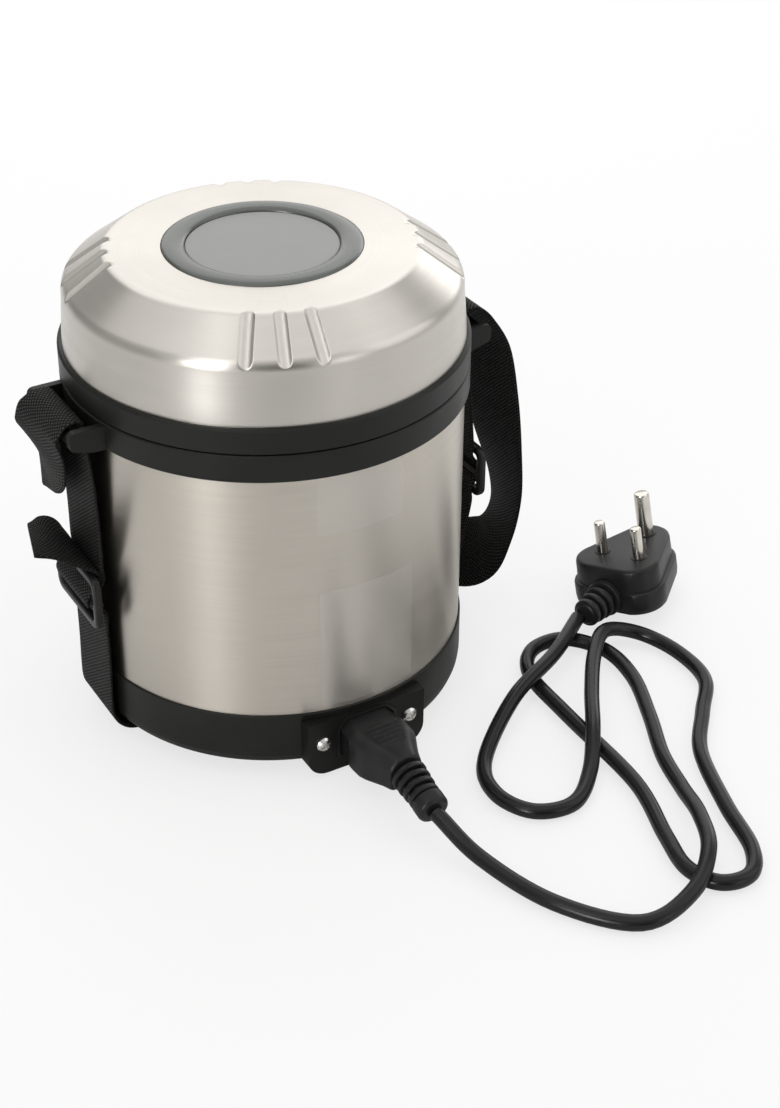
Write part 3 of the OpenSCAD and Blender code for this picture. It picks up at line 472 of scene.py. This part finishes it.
# Wall, shoulder, brow and badge follow the photo: about 2.5 mm from the solid at most
BARREL_R, LID_WALL_R, LID_TOP_R, Z_SHOULDER, Z_TOP = 80.0, 78.7, 60.0, 184.5, 200.0
SHOULDER_R, BROW_R = 6.0, 4.5
SLOPE = math.degrees(math.atan2(Z_TOP - Z_SHOULDER, LID_WALL_R - LID_TOP_R))
BADGE_R, DISC_R = 39.4, 30.2
# Four groups of three grooves; a groove is an arc of radius FLUTE_R with softened edges
FLUTE_FIRST, FLUTE_STEP = -111.4, 10.7
FLUTE_CENTRES = [90 * g + FLUTE_FIRST + FLUTE_STEP * i for g in range(4) for i in (-1, 0, 1)]
FLUTE_R, FLUTE_DEPTH, FLUTE_SOFT = 3.4, 1.3, 0.22


def tangent_point(cx, cz, r):
    """Where a rounding of radius r meets the slope."""
    a = math.radians(90 - SLOPE)
    return cx + r * math.cos(a), cz + r * math.sin(a)


SLOPE_TOP = tangent_point(LID_TOP_R, Z_TOP - BROW_R, BROW_R)
SLOPE_FOOT = tangent_point(LID_WALL_R - SHOULDER_R, Z_SHOULDER, SHOULDER_R)
# The straight slope between brow and shoulder: its tilt and its outward normal as (r, z)
FACE = math.atan2(SLOPE_TOP[1] - SLOPE_FOOT[1], SLOPE_FOOT[0] - SLOPE_TOP[0])
FACE_N = (math.sin(FACE), math.cos(FACE))


def from_flute(theta):
    """Degrees to the nearest groove's middle."""
    return min(abs((theta - c + 180) % 360 - 180) for c in FLUTE_CENTRES)


def flute_depth(theta, r, z):
    """How deep the pressed grooves lie below the point (r, z) at an angle, along FACE_N."""
    off = from_flute(theta)
    off = r * math.sin(math.radians(off)) if off < 20 else 99
    if off >= FLUTE_R:
        return 0.0
    gap = -((r - SLOPE_TOP[0]) * FACE_N[0] + (z - SLOPE_TOP[1]) * FACE_N[1])
    depth = math.sqrt(FLUTE_R**2 - off**2) - (FLUTE_R - FLUTE_DEPTH) - gap
    depth *= smooth_step(LID_TOP_R - 3, LID_TOP_R - 1, r)
    if depth > FLUTE_SOFT:
        return depth
    return max(0.0, depth + FLUTE_SOFT) ** 2 / (4 * FLUTE_SOFT)


def lid_profile():
    """Outer profile as (r, z), from the badge's seat down the wall."""
    out = [(r, Z_TOP) for r in (BADGE_R + 0.1, 41, 44, 48, 52, 56, 58.5)]
    out += arc(LID_TOP_R, Z_TOP - BROW_R, BROW_R, 90, 90 - SLOPE, 12)
    for i in range(1, 18):
        k = i / 18
        out.append((SLOPE_TOP[0] + (SLOPE_FOOT[0] - SLOPE_TOP[0]) * k,
                    SLOPE_TOP[1] + (SLOPE_FOOT[1] - SLOPE_TOP[1]) * k))
    out += arc(LID_WALL_R - SHOULDER_R, Z_SHOULDER, SHOULDER_R, 90 - SLOPE, 0, 20)
    return out + [(LID_WALL_R + 0.05, 183.5), (LID_WALL_R + 0.25, 180), (LID_WALL_R + 0.7, 174),
                  (BARREL_R - 0.2, 168), (BARREL_R, 163), (BARREL_R, 158)]


def lid_angles():
    """Angles round the lid, close together near the grooves."""
    out = [0.0]
    while out[-1] < 359.5:
        out.append(out[-1] + (0.2 if from_flute(out[-1]) < 5 else 1.0))
    return out[:-1]


def make_lid():
    """Pressed steel cover: the outer profile with its grooves, and a plain inner face."""
    profile, angles = lid_profile(), lid_angles()
    verts = []
    for r, z in profile:
        for theta in angles:
            d = flute_depth(theta, r, z)
            t = math.radians(theta)
            rr, zz = r - d * FACE_N[0], z - d * FACE_N[1]
            verts.append(Vector((rr * math.cos(t), rr * math.sin(t), zz)) * MM)
    inner = ((BARREL_R - 0.8, 158), (LID_WALL_R - 2.6, Z_SHOULDER - 1),
             (LID_TOP_R - 1, Z_TOP - 3.0), (BADGE_R + 0.1, Z_TOP - 3.0))
    for r, z in inner:
        for theta in angles:
            t = math.radians(theta)
            verts.append(Vector((r * math.cos(t), r * math.sin(t), z)) * MM)
    faces = grid_faces(len(profile) + len(inner), len(angles), wrap_rows=True)
    faces = [tuple(reversed(f)) for f in faces]
    piece = add_object("lid_steel", build_mesh("lid_steel", verts, faces, 60), "lid",
                       STEEL_LID_LIT)
    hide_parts("lid_shell")


make_lid()


def make_badge():
    """Rounded rim and flat disc, both bare."""
    seat = Z_TOP - 2.19
    middle, half = (BADGE_R + DISC_R) / 2, (BADGE_R - DISC_R) / 2
    rim = [(0, seat), (BADGE_R, seat)]
    rim += [(middle + half * c, Z_TOP - 0.5 + 1.85 * s) for c, s in arc(0, 0, 1, 0, 180, 28)]
    rim += [(DISC_R, Z_TOP - 1.15), (0, Z_TOP - 1.15)]
    piece = lathe("badge_rim", rim, "lid", BADGE_RIM, 256)
    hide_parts("lid_badge")
    face = [(0, Z_TOP - 1.1), (DISC_R - 0.15, Z_TOP - 1.1), (DISC_R - 0.15, Z_TOP - 0.75)]
    face += arc(DISC_R - 0.55, Z_TOP - 0.75, 0.4, 0, 90, 4)
    face += [(DISC_R - 1.2, Z_TOP - 0.35), (0, Z_TOP - 0.3)]
    lathe("badge_face", face, "lid", BADGE_FACE, 256)


make_badge()

# ------------------------------------------------------------------ barrel


def make_barrel():
    """Plain steel wall, running a little way under the base band and the collar."""
    inner_r = BARREL_R - 0.8
    outline = [(inner_r, 28)] + [(BARREL_R, z) for z in (28, 60, 100, 130, 146)]
    outline += [(inner_r, 146), (inner_r, 60)]
    piece = lathe("barrel_steel", outline, "canister", STEEL, 384)
    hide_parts("barrel_shell")


make_barrel()


def make_film(name, from_deg, to_deg, z0, z1):
    """Bare clear sticker wrapped on the barrel; angles from -Y towards +X."""
    r0, r1, n = BARREL_R + 0.04, BARREL_R + 0.12, 40
    verts = []
    for r, z in ((r1, z0), (r1, z1), (r0, z1), (r0, z0)):
        for i in range(n + 1):
            t = math.radians(-90 + from_deg + (to_deg - from_deg) * i / n)
            verts.append(Vector((r * math.cos(t), r * math.sin(t), z)) * MM)
    faces = grid_faces(4, n + 1, wrap_cols=False, wrap_rows=True)
    faces += [tuple(k * (n + 1) for k in range(4)),
              tuple(k * (n + 1) + n for k in reversed(range(4)))]
    add_object(name, build_mesh(name, verts, faces), "canister", FILM)


make_film("sticker_high", -14, 13.5, 114, 139)
make_film("sticker_low", -13.5, 17.3, 33, 88)

# ------------------------------------------------------------------ webbing

# Each run below is a list of pairs: a middle point and the direction of the webbing's width
STRAP_W, STRAP_T, STRAP_X, LOOP_X, BASE_R, UNDER_Z = 32.0, 1.4, 82.6, 85.6, 80.8, 1.7
Z_SEAM, Z_COLLAR = 152.0, 140.5
GLIDE_LOW, GLIDE_HIGH, LEFT_LIFT, RIGHT_LIFT, RIGHT_GAP = 70, 78, 5, 4, 7.4
TAIL_X = STRAP_X + STRAP_T + 0.3
BACK_R = 90.0
Y, UP = (0, 1, 0), (0, 0, 1)


def under_run(s):
    """From under the base up to the barrel's foot, on the side of sign s."""
    return [((s * x, 0, z), Y) for x, z in (
        (40, UNDER_Z), (BASE_R - 14, UNDER_Z), (BASE_R - 9, UNDER_Z + 0.1), (BASE_R - 5.6, 2.5),
        (BASE_R - 2.2, 4.6), (BASE_R + 0.5, 8.2), (STRAP_X + 0.2, 13), (STRAP_X + 0.3, 22))]


def over_bar(s, x, z, lift):
    """Up past a buckle at height z, bowed out by lift over its middle bar."""
    return [((s * a, 0, z + b), Y) for a, b in (
        (x, -15), (x, -8), (x + lift, -1.8), (x + lift, 1.8), (x, 8), (x, 15))]


def round_back(angle, z):
    """A point behind the barrel, with the webbing standing on its edge."""
    a = math.radians(angle)
    return ((BACK_R * math.cos(a), BACK_R * math.sin(a), z), UP)


LEFT_RUN = [
    ((0, 0, UNDER_Z), Y), *under_run(-1), ((-STRAP_X, 0, 35), Y),
    *over_bar(-1, STRAP_X, GLIDE_LOW, LEFT_LIFT), ((-STRAP_X, 0, 104), Y),
    ((-STRAP_X - 1, 0, Z_COLLAR - 14), Y), ((-LOOP_X, 0, Z_SEAM - 9), Y),
    ((-LOOP_X, 0, Z_SEAM - 2.5), Y),
]
RIGHT_RUN = [
    *under_run(1), ((STRAP_X + 1.6, 0, 35), Y), ((STRAP_X + 5, 0, 51), Y),
    *over_bar(1, STRAP_X + RIGHT_GAP, GLIDE_HIGH, RIGHT_LIFT), ((STRAP_X + 5, 0, 120), Y),
    ((LOOP_X, 0, Z_SEAM - 10), Y), ((LOOP_X, 0, Z_SEAM + 1), Y),
]
OVER_X = STRAP_X + LEFT_LIFT + STRAP_T + 0.6
TAIL = [
    ((-OVER_X, 0, GLIDE_LOW - 1.8), Y), ((-OVER_X, 0, GLIDE_LOW + 1.8), Y),
    ((-TAIL_X - 0.2, 0, GLIDE_LOW + 8), Y), ((-TAIL_X - 0.1, 0, GLIDE_LOW + 12.4), Y),
    ((-OVER_X + 0.6, 0, GLIDE_LOW + 18), (0.15, 0.98, 0)),
    ((-OVER_X - 4.4, 0.5, GLIDE_LOW + 22.4), (0.3, 0.95, 0)),
    ((-OVER_X - 10, 0.5, GLIDE_LOW + 25), (0.25, 0.95, -0.05)),
    ((-OVER_X - 15.6, 0.5, GLIDE_LOW + 26), (0.2, 0.95, -0.15)),
]
SHOULDER = [
    ((-LOOP_X, 0, Z_SEAM - 2.1), Y), ((-LOOP_X - 0.4, 0, Z_SEAM - 0.9), Y),
    ((-LOOP_X - 3.4, 0, Z_SEAM + 0.2), Y), ((-LOOP_X - 8, 0.3, Z_SEAM - 1.2), (-0.1, 1, 0)),
    ((-LOOP_X - 11.6, 1, Z_SEAM - 6), (-0.1, 1, 0)),
    ((-LOOP_X - 11, 3, Z_SEAM - 15), (-0.2, 0.95, 0.15)),
    ((-LOOP_X - 8.5, 8, Z_SEAM - 24), (-0.15, 0.8, 0.45)),
    ((-LOOP_X - 5.5, 17, Z_SEAM - 30), (-0.1, 0.45, 0.85)),
    ((-LOOP_X - 2, 29, Z_SEAM - 33), (0, 0.1, 1)), ((-LOOP_X + 7.6, 45, Z_SEAM - 40), UP),
    round_back(135, Z_SEAM - 51), round_back(115, Z_SEAM - 60), round_back(90, Z_SEAM - 72),
    round_back(65, Z_SEAM - 92), round_back(45, Z_SEAM - 112), ((80, 44, 26), (0, 0.1, 1)),
    ((90, 27, 19.5), (0, 0.15, 1)), ((100, 11, 18.5), (0.25, 0.3, 0.9)),
    ((108, -1, 26), (0.35, 0.7, 0.6)), ((113.5, -5, 41), (0.3, 1, 0.15)),
    ((114.5, -5, 60), (0.1, 1, 0)), ((111, -3, 84), (-0.15, 1, 0)),
    ((107.5, -1, 108), (-0.3, 1, 0)), ((103, 0, 132), (-0.3, 0.95, 0)),
    ((LOOP_X + 11, 0, Z_SEAM - 3), (-0.1, 1, 0)), ((LOOP_X + 5, 0, Z_SEAM + 4.4), Y),
    ((LOOP_X + 0.6, 0, Z_SEAM + 4.2), Y), ((LOOP_X, 0, Z_SEAM + 1.4), Y),
]


def ribbon(name, pairs, node, skew=0.0):
    """Webbing with slightly rounded edges along a run, its last end cut skew mm off square."""
    steps = 8
    mid = catmull([p[0] for p in pairs], steps)
    way = catmull([p[1] for p in pairs], steps)
    half, t = STRAP_W / 2, STRAP_T / 2
    section = [(-half, 0), (-half + 0.25, t * 0.7), (-half + 0.9, t)]
    section += [(-half + 0.9 + (STRAP_W - 1.8) * k / 8, t) for k in range(1, 9)]
    section += [(half - 0.25, t * 0.7), (half, 0)]
    section += [(-x, -z) for x, z in section[1:-1]]
    verts, uvs, run = [], [], 0.0
    for i, centre in enumerate(mid):
        ahead = heading(mid, i)
        normal = ahead.cross(way[i]).normalized()
        side = normal.cross(ahead)
        if i:
            run += (centre - mid[i - 1]).length
        lean = skew * smooth_step(len(mid) - 1 - 2 * steps, len(mid) - 1, i) / half
        for x, z in section:
            verts.append((centre + side * x + normal * z + ahead * x * lean) * MM)
            uvs.append(((x + half) * MM, run * MM))
    cols = len(section)
    faces = grid_faces(len(mid), cols)
    faces += [tuple(range(cols))[::-1], tuple(range((len(mid) - 1) * cols, len(mid) * cols))]
    piece = add_object(name, build_mesh(name, verts, faces, 60, uvs), "canister", WEB)
    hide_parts(node)


ribbon("side_webbing", LEFT_RUN[::-1] + RIGHT_RUN, "side_strap")
ribbon("tail_webbing", TAIL, "strap_tail", skew=-5.0)
ribbon("shoulder_webbing", SHOULDER, "shoulder_strap")


def rounded_path(w, h, r):
    """Rectangle with rounded corners, anticlockwise."""
    out = []
    for i, (sx, sy) in enumerate(((1, 1), (-1, 1), (-1, -1), (1, -1))):
        out += arc(sx * (w / 2 - r), sy * (h / 2 - r), r, 90 * i, 90 * i + 90, 8)
    return out


def tri_glide(name, node, x, z, out):
    """Buckle frame with rounded bars, standing in the YZ plane with its back at x."""
    w, h, rim, t, sides = STRAP_W + 9, 24, 3.7, 3.4, 16
    turns = [(math.cos(k * math.pi / 8), math.sin(k * math.pi / 8)) for k in range(sides)]
    path = rounded_path(w - rim, h - rim, 3.4)
    rings = []
    for i, (a, b) in enumerate(path):
        before, after = path[i - 1], path[(i + 1) % len(path)]
        tx, tz = after[0] - before[0], after[1] - before[1]
        size = math.hypot(tx, tz)
        nx, nz = tz / size, -tx / size
        ring = []
        for turn in turns:
            c, s = (abs(v) ** 0.6 * (1 if v > 0 else -1) for v in turn)
            off = c * rim / 2
            ring.append((x + out * (t / 2 + s * t / 2), a + nx * off, z + b + nz * off))
        rings.append(ring)
    verts = [Vector(p) * MM for ring in rings for p in ring]
    faces = grid_faces(len(rings), sides, wrap_rows=True)
    mesh = build_mesh(name, verts, faces, 60)
    piece = add_object(name, mesh, "canister", BUCKLE)
    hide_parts(node)
    rings = [[(x + out * (0.3 + 0.85 * s), y, z + 1.3 * c) for c, s in turns]
             for y in (-w / 2 + 1.4, w / 2 - 1.4)]
    loft(name + "_bar", rings, "canister", BUCKLE)


tri_glide("glide_left", "tri_glide_left", -TAIL_X - STRAP_T / 2 - 0.3, GLIDE_LOW, -1)
tri_glide("glide_right", "tri_glide_right", STRAP_X + RIGHT_GAP + STRAP_T / 2 + 0.3, GLIDE_HIGH, 1)

# ------------------------------------------------------------------ connector

INLET_Z = 17.5
GRIP_Y0, GRIP_Y1 = -90.0, -114.0


def inlet_ring(y, w, h, cut, soft):
    """Rounded inlet outline in the XZ plane at y: a box with its top corners cut."""
    corners = [(-w / 2, -h / 2), (w / 2, -h / 2), (w / 2, h / 2 - cut),
               (w / 2 - cut, h / 2), (-w / 2 + cut, h / 2), (-w / 2, h / 2 - cut)]
    out = []
    for i, c in enumerate(corners):
        a, b = corners[i - 1], corners[(i + 1) % len(corners)]
        c = Vector(c)
        u, v = (Vector(a) - c).normalized() * soft, (Vector(b) - c).normalized() * soft
        for k in range(6):
            t = k / 5
            p = (c + u) * (1 - t) ** 2 + c * 2 * t * (1 - t) + (c + v) * t * t
            out.append((p[0], y, INLET_Z + p[1]))
    return out


def make_connector():
    """Nozzle, grip that narrows towards the lead, and five ribs on top."""
    sections = [  # y, width, height, corner cut, softness
        (-65.5, 22.6, 14.6, 3.4, 1.2), (-65.2, 24.0, 16.0, 3.9, 1.0),
        (GRIP_Y0 + 0.6, 24.2, 16.2, 4.0, 1.0), (GRIP_Y0, 25.2, 17.4, 4.2, 1.2),
        (GRIP_Y0 - 0.4, 26.0, 18.4, 4.3, 1.6), (GRIP_Y0 - 3, 26.2, 18.6, 4.3, 2.0),
        (GRIP_Y0 - 8, 25.8, 18.5, 4.2, 2.2), (GRIP_Y0 - 11, 24.2, 18.0, 4.2, 2.4),
        (GRIP_Y0 - 15, 20.6, 17.2, 4.4, 2.6), (GRIP_Y0 - 19, 17.2, 16.0, 4.2, 2.6),
        (GRIP_Y1 + 1.5, 15.2, 15.2, 4.2, 2.6), (GRIP_Y1 + 0.4, 14.4, 14.4, 4.2, 2.4),
        (GRIP_Y1, 12.8, 12.8, 3.6, 2.2),
    ]
    rings = [list(reversed(inlet_ring(*section))) for section in sections]
    piece = loft("connector", rings, "lead", MOULD, 40)
    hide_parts("connector_body")
    top = INLET_Z + 9.25
    ribs = 5
    rib_section = [(-0.65, -0.9), (0.65, -0.9), (0.5, 0.35), (0.25, 0.55), (-0.25, 0.55),
                   (-0.5, 0.35)]
    for i in range(ribs):
        y, half = GRIP_Y0 - 3.6 - 2.5 * i, 7.4 - 0.5 * i
        z = top - 0.08 * i - (0.25 if i == ribs - 1 else 0)
        ends = [[(x, y + sy, z + sz) for sy, sz in rib_section] for x in (-half, half)]
        loft(f"connector_rib_{i}", ends, "lead", MOULD, 60)


make_connector()


def relief_place(origin, tilt):
    """Places an upright lathe so that its axis runs along -Y, dropping by tilt."""
    return Matrix.Translation(Vector(origin) * MM) @ Matrix.Rotation(math.radians(90 + tilt), 4, "X")


def relief_outline(length, base, tip, ribs, cap):
    """Closed outline of a ribbed strain relief: ribs, then an end cap."""
    core, round_r = 0.66, 0.45
    out = [(0, 0), (base * core + 0.6, 0)]
    rib_l = (length - cap) / ribs
    for i in range(ribs):
        r = base - (base - tip) * i / ribs
        z0, z1 = 0.9 + i * rib_l, 0.9 + i * rib_l + rib_l * 0.6
        c = r * core
        out += [(c, z0 - 0.1)] + [(r - round_r, z0), (r, z0 + round_r), (r, z1 - round_r),
                                  (r - round_r, z1), (c, z1 + 0.1)]
    z0 = length - cap
    out += [(tip * core, z0 - 0.1), (tip - 0.1, z0), (tip + 0.4, z0 + 0.5),
            (tip + 0.4, length - 1.7), (tip, length - 0.7), (tip - 1, length), (0, length)]
    return out


def make_relief():
    """The connector's ribbed strain relief, with a flat spine on either side."""
    place = relief_place((0, GRIP_Y1 - 0.05, INLET_Z), 11)
    outline = relief_outline(22, 7.5, 6.3, 4, 6.6)
    piece = lathe("connector_relief_skin", outline, "lead", MOULD, 64, place)
    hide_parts("connector_relief")
    spine = [(-1.1, -1.8), (1.1, -1.8), (1.3, 0), (1.1, 1.8), (-1.1, 1.8)]
    for s in (-1, 1):
        rings = []
        for z in (0.4, 10, 19.5):
            ring = [(s * 5 + a, b, z) for a, b in spine]
            rings.append([tuple((place @ (Vector(p) * MM)) / MM) for p in ring])
        loft(f"relief_spine_{'l' if s < 0 else 'r'}", rings, "lead", MOULD)


make_relief()

# ------------------------------------------------------------------ plug

PLUG_AT = Vector((157.6, -37.6, 26.2))
PLUG = (Matrix.Translation(PLUG_AT * MM) @ Matrix.Rotation(math.radians(-67), 4, "Z")
        @ Matrix.Rotation(math.radians(-12), 4, "Y"))
PIN_GAP, EARTH_GAP, PLUG_H = 19.05, 22.22, 22.0


def plug_ring(z, grow, cut=None):
    """Rounded triangle round the three pins at height z, grown by grow, cut off below y = cut."""
    r = 12.5 + grow
    a, b, c = Vector((-PIN_GAP / 2 + 1, -3)), Vector((PIN_GAP / 2 - 1, -3)), Vector((0, EARTH_GAP - 2))
    out_bc = math.degrees(math.atan2(b.x - c.x, c.y - b.y))
    spans = [(b, -90, out_bc), (c, out_bc, 180 - out_bc), (a, 180 - out_bc, 270)]
    pts = []
    for centre, start, end in spans:
        pts += arc(centre.x, centre.y, r, start, end, 24)
    if cut is not None:
        pts = [(x, max(y, cut)) for x, y in pts]
    return [tuple((PLUG @ Vector((x * MM, y * MM, z * MM))) / MM) for x, y in pts]


def make_plug():
    """Triangular moulding with a cover and a foot, its strain relief and three pins."""
    rings = [plug_ring(-PLUG_H, -1.4, -14.2), plug_ring(-PLUG_H + 0.4, -0.2, -15.0),
             plug_ring(-PLUG_H + 1.5, 0.8, -15.4), plug_ring(-PLUG_H + 4, 1.15, -15.5),
             plug_ring(-12.2, 1.15, -15.5), plug_ring(-11.4, 0.9, -15.5), plug_ring(-11.0, 0.3),
             plug_ring(-10.8, -0.5), plug_ring(-6, -0.65), plug_ring(-1.8, -0.75),
             plug_ring(-0.8, -1.1), plug_ring(-0.2, -1.9), plug_ring(0, -2.9)]
    piece = loft("plug", rings, "lead", MOULD, 40)
    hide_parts("plug_body")
    place = PLUG @ relief_place((0, -15.45, -PLUG_H / 2 - 3), 0)
    outline = [(0, 0), (8.5, 0), (8.5, 2.4), (8.1, 2.9), (5.8, 3.2)]
    for i in range(3):
        r, z = 7.5 - 0.6 * i, 5.0 + 4.6 * i
        outline += [(5.4 - 0.4 * i, z - 0.1), (r - 0.5, z), (r, z + 0.5), (r, z + 2.3),
                    (r - 0.5, z + 2.8), (5.2 - 0.4 * i, z + 2.9)]
    outline += [(5.0, 17.4), (4.2, 18), (0, 18)]
    piece = lathe("plug_relief_skin", outline, "lead", MOULD, 64, place)
    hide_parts("plug_relief")
    pins = ((-PIN_GAP / 2, 0, 2.54, 14.9), (PIN_GAP / 2, 0, 2.54, 14.9),
            (0, EARTH_GAP, 3.53, 20.6))
    for i, (x, y, r, length) in enumerate(pins):
        place = PLUG @ Matrix.Translation(Vector((x, y, 0)) * MM)
        tip = [(0, -6), (r - 0.6, -6), (r - 0.6, 0.02), (r, 0.02), (r, length - 0.9)]
        tip += arc(r - 0.9, length - 0.9, 0.9, 0, 75, 6) + [(0, length)]
        pin = lathe(f"plug_pin_{i}", tip, "lead", PIN, 48, place)
        if i == 0:
            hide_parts("plug_pins")
        ring = [(r + 0.06, -0.4), (r + 1.2, -0.4), (r + 1.1, 0.25), (r + 0.8, 0.4), (r + 0.06, 0.4)]
        lathe(f"plug_boss_{i}", ring, "lead", MOULD, 48, place)


make_plug()

# ------------------------------------------------------------------ stage and light

# The floor lies just below the CAD's zero; the other values are shares of full white
FLOOR_HALF, FLOOR_Z, FLOOR_GLOW = 6.0, -0.0004, 0.72
ROOM_LEVEL, ROOM_LEAST, DULL_LEVEL = 0.62, 0.05, 0.5
# Azimuth in degrees, sharpness and strength of each bright or dark side
ROOM_SIDES = ((210, 160, 0.2), (252, 18, -0.6), (172, 20, -0.1), (286, 40, 0.5),
              (345, 3, -0.14), (26, 50, 0.5), (110, 4, -0.3))


def make_floor():
    """Pale floor that takes shadows; for the camera only, most of it is plain white."""
    mesh = bpy.data.meshes.new("floor")
    corners = [(x * FLOOR_HALF, y * FLOOR_HALF, FLOOR_Z)
               for x, y in ((-1, -1), (1, -1), (1, 1), (-1, 1))]
    mesh.from_pydata(corners, [], [(0, 1, 2, 3)])
    m = Nodes("floor_white", (0.9, 0.9, 0.9), 0.9)
    m.set(Specular_IOR_Level=0.1)
    light = m.add("ShaderNodeEmission")
    light.inputs["Color"].default_value = (1, 1, 1, 1)
    light.inputs["Strength"].default_value = 1.0
    path = m.add("ShaderNodeLightPath")
    mix = m.add("ShaderNodeMixShader")
    share = m.math("MULTIPLY", path.outputs["Is Camera Ray"], FLOOR_GLOW)
    m.link(share, mix.inputs[0])
    m.link(m.bsdf.outputs[0], mix.inputs[1])
    m.link(light.outputs[0], mix.inputs[2])
    m.link(mix.outputs[0], m.tree.nodes["Material Output"].inputs[0])
    floor = add_object("floor", mesh, None, m.material)


def area_light(name, place, target, size, power, size_y=None):
    """Soft lamp at place, turned to target; a second size makes it a rectangle."""
    data = bpy.data.lights.new(name, "AREA")
    data.energy = power
    data.size = size
    if size_y:
        data.shape = "RECTANGLE"
        data.size_y = size_y
    lamp = bpy.data.objects.new(name, data)
    bpy.context.scene.collection.objects.link(lamp)
    lamp.location = place
    direction = Vector(target) - Vector(place)
    lamp.rotation_euler = direction.to_track_quat("-Z", "Y").to_euler()


def room_side(w, direction, azimuth, power, size):
    """A soft bright or dark side of the room, centred on an azimuth in degrees."""
    dot = w.add("ShaderNodeVectorMath", operation="DOT_PRODUCT")
    w.link(direction, dot.inputs[0])
    a = math.radians(azimuth)
    dot.inputs[1].default_value = (math.cos(a), math.sin(a), 0.25)
    facing = w.math("MAXIMUM", dot.outputs["Value"], 0.0)
    return w.math("MULTIPLY", w.math("POWER", facing, power), size)


def make_world():
    """White to the camera; metal mirrors a room with bright and dark sides."""
    world = bpy.data.worlds.new("studio")
    bpy.context.scene.world = world
    w = Tree(world)
    back = w.tree.nodes["Background"]
    back.inputs["Color"].default_value = (1, 1, 1, 1)
    direction = w.add("ShaderNodeTexCoord").outputs["Generated"]
    room = ROOM_LEVEL
    for azimuth, power, size in ROOM_SIDES:
        room = w.math("ADD", room_side(w, direction, azimuth, power, size), room)
    rays = w.add("ShaderNodeLightPath").outputs
    seen = w.math("MAXIMUM", rays["Is Camera Ray"], rays["Is Transmission Ray"])
    shiny = w.math("MULTIPLY", rays["Is Glossy Ray"], w.math("MAXIMUM", room, ROOM_LEAST))
    dull = w.math("MULTIPLY", w.math("SUBTRACT", 1.0, rays["Is Glossy Ray"]), DULL_LEVEL)
    w.link(w.math("MAXIMUM", seen, w.math("ADD", shiny, dull)), back.inputs["Strength"])


make_floor()
make_world()
area_light("key", (-0.78, -0.5, 0.62), (0, 0, 0.1), 0.24, 2.0, 1.15)
area_light("fill", (1.1, -0.7, 0.9), (0.05, 0, 0.1), 1.1, 3.4)
area_light("back", (0.5, 1.0, 0.8), (0, 0, 0.15), 1.5, 5.6, 1.1)
area_light("top", (0.0, 0.2, 1.6), (0, 0, 0.1), 2.4, 11)

bpy.context.scene.view_settings.view_transform = "Standard"
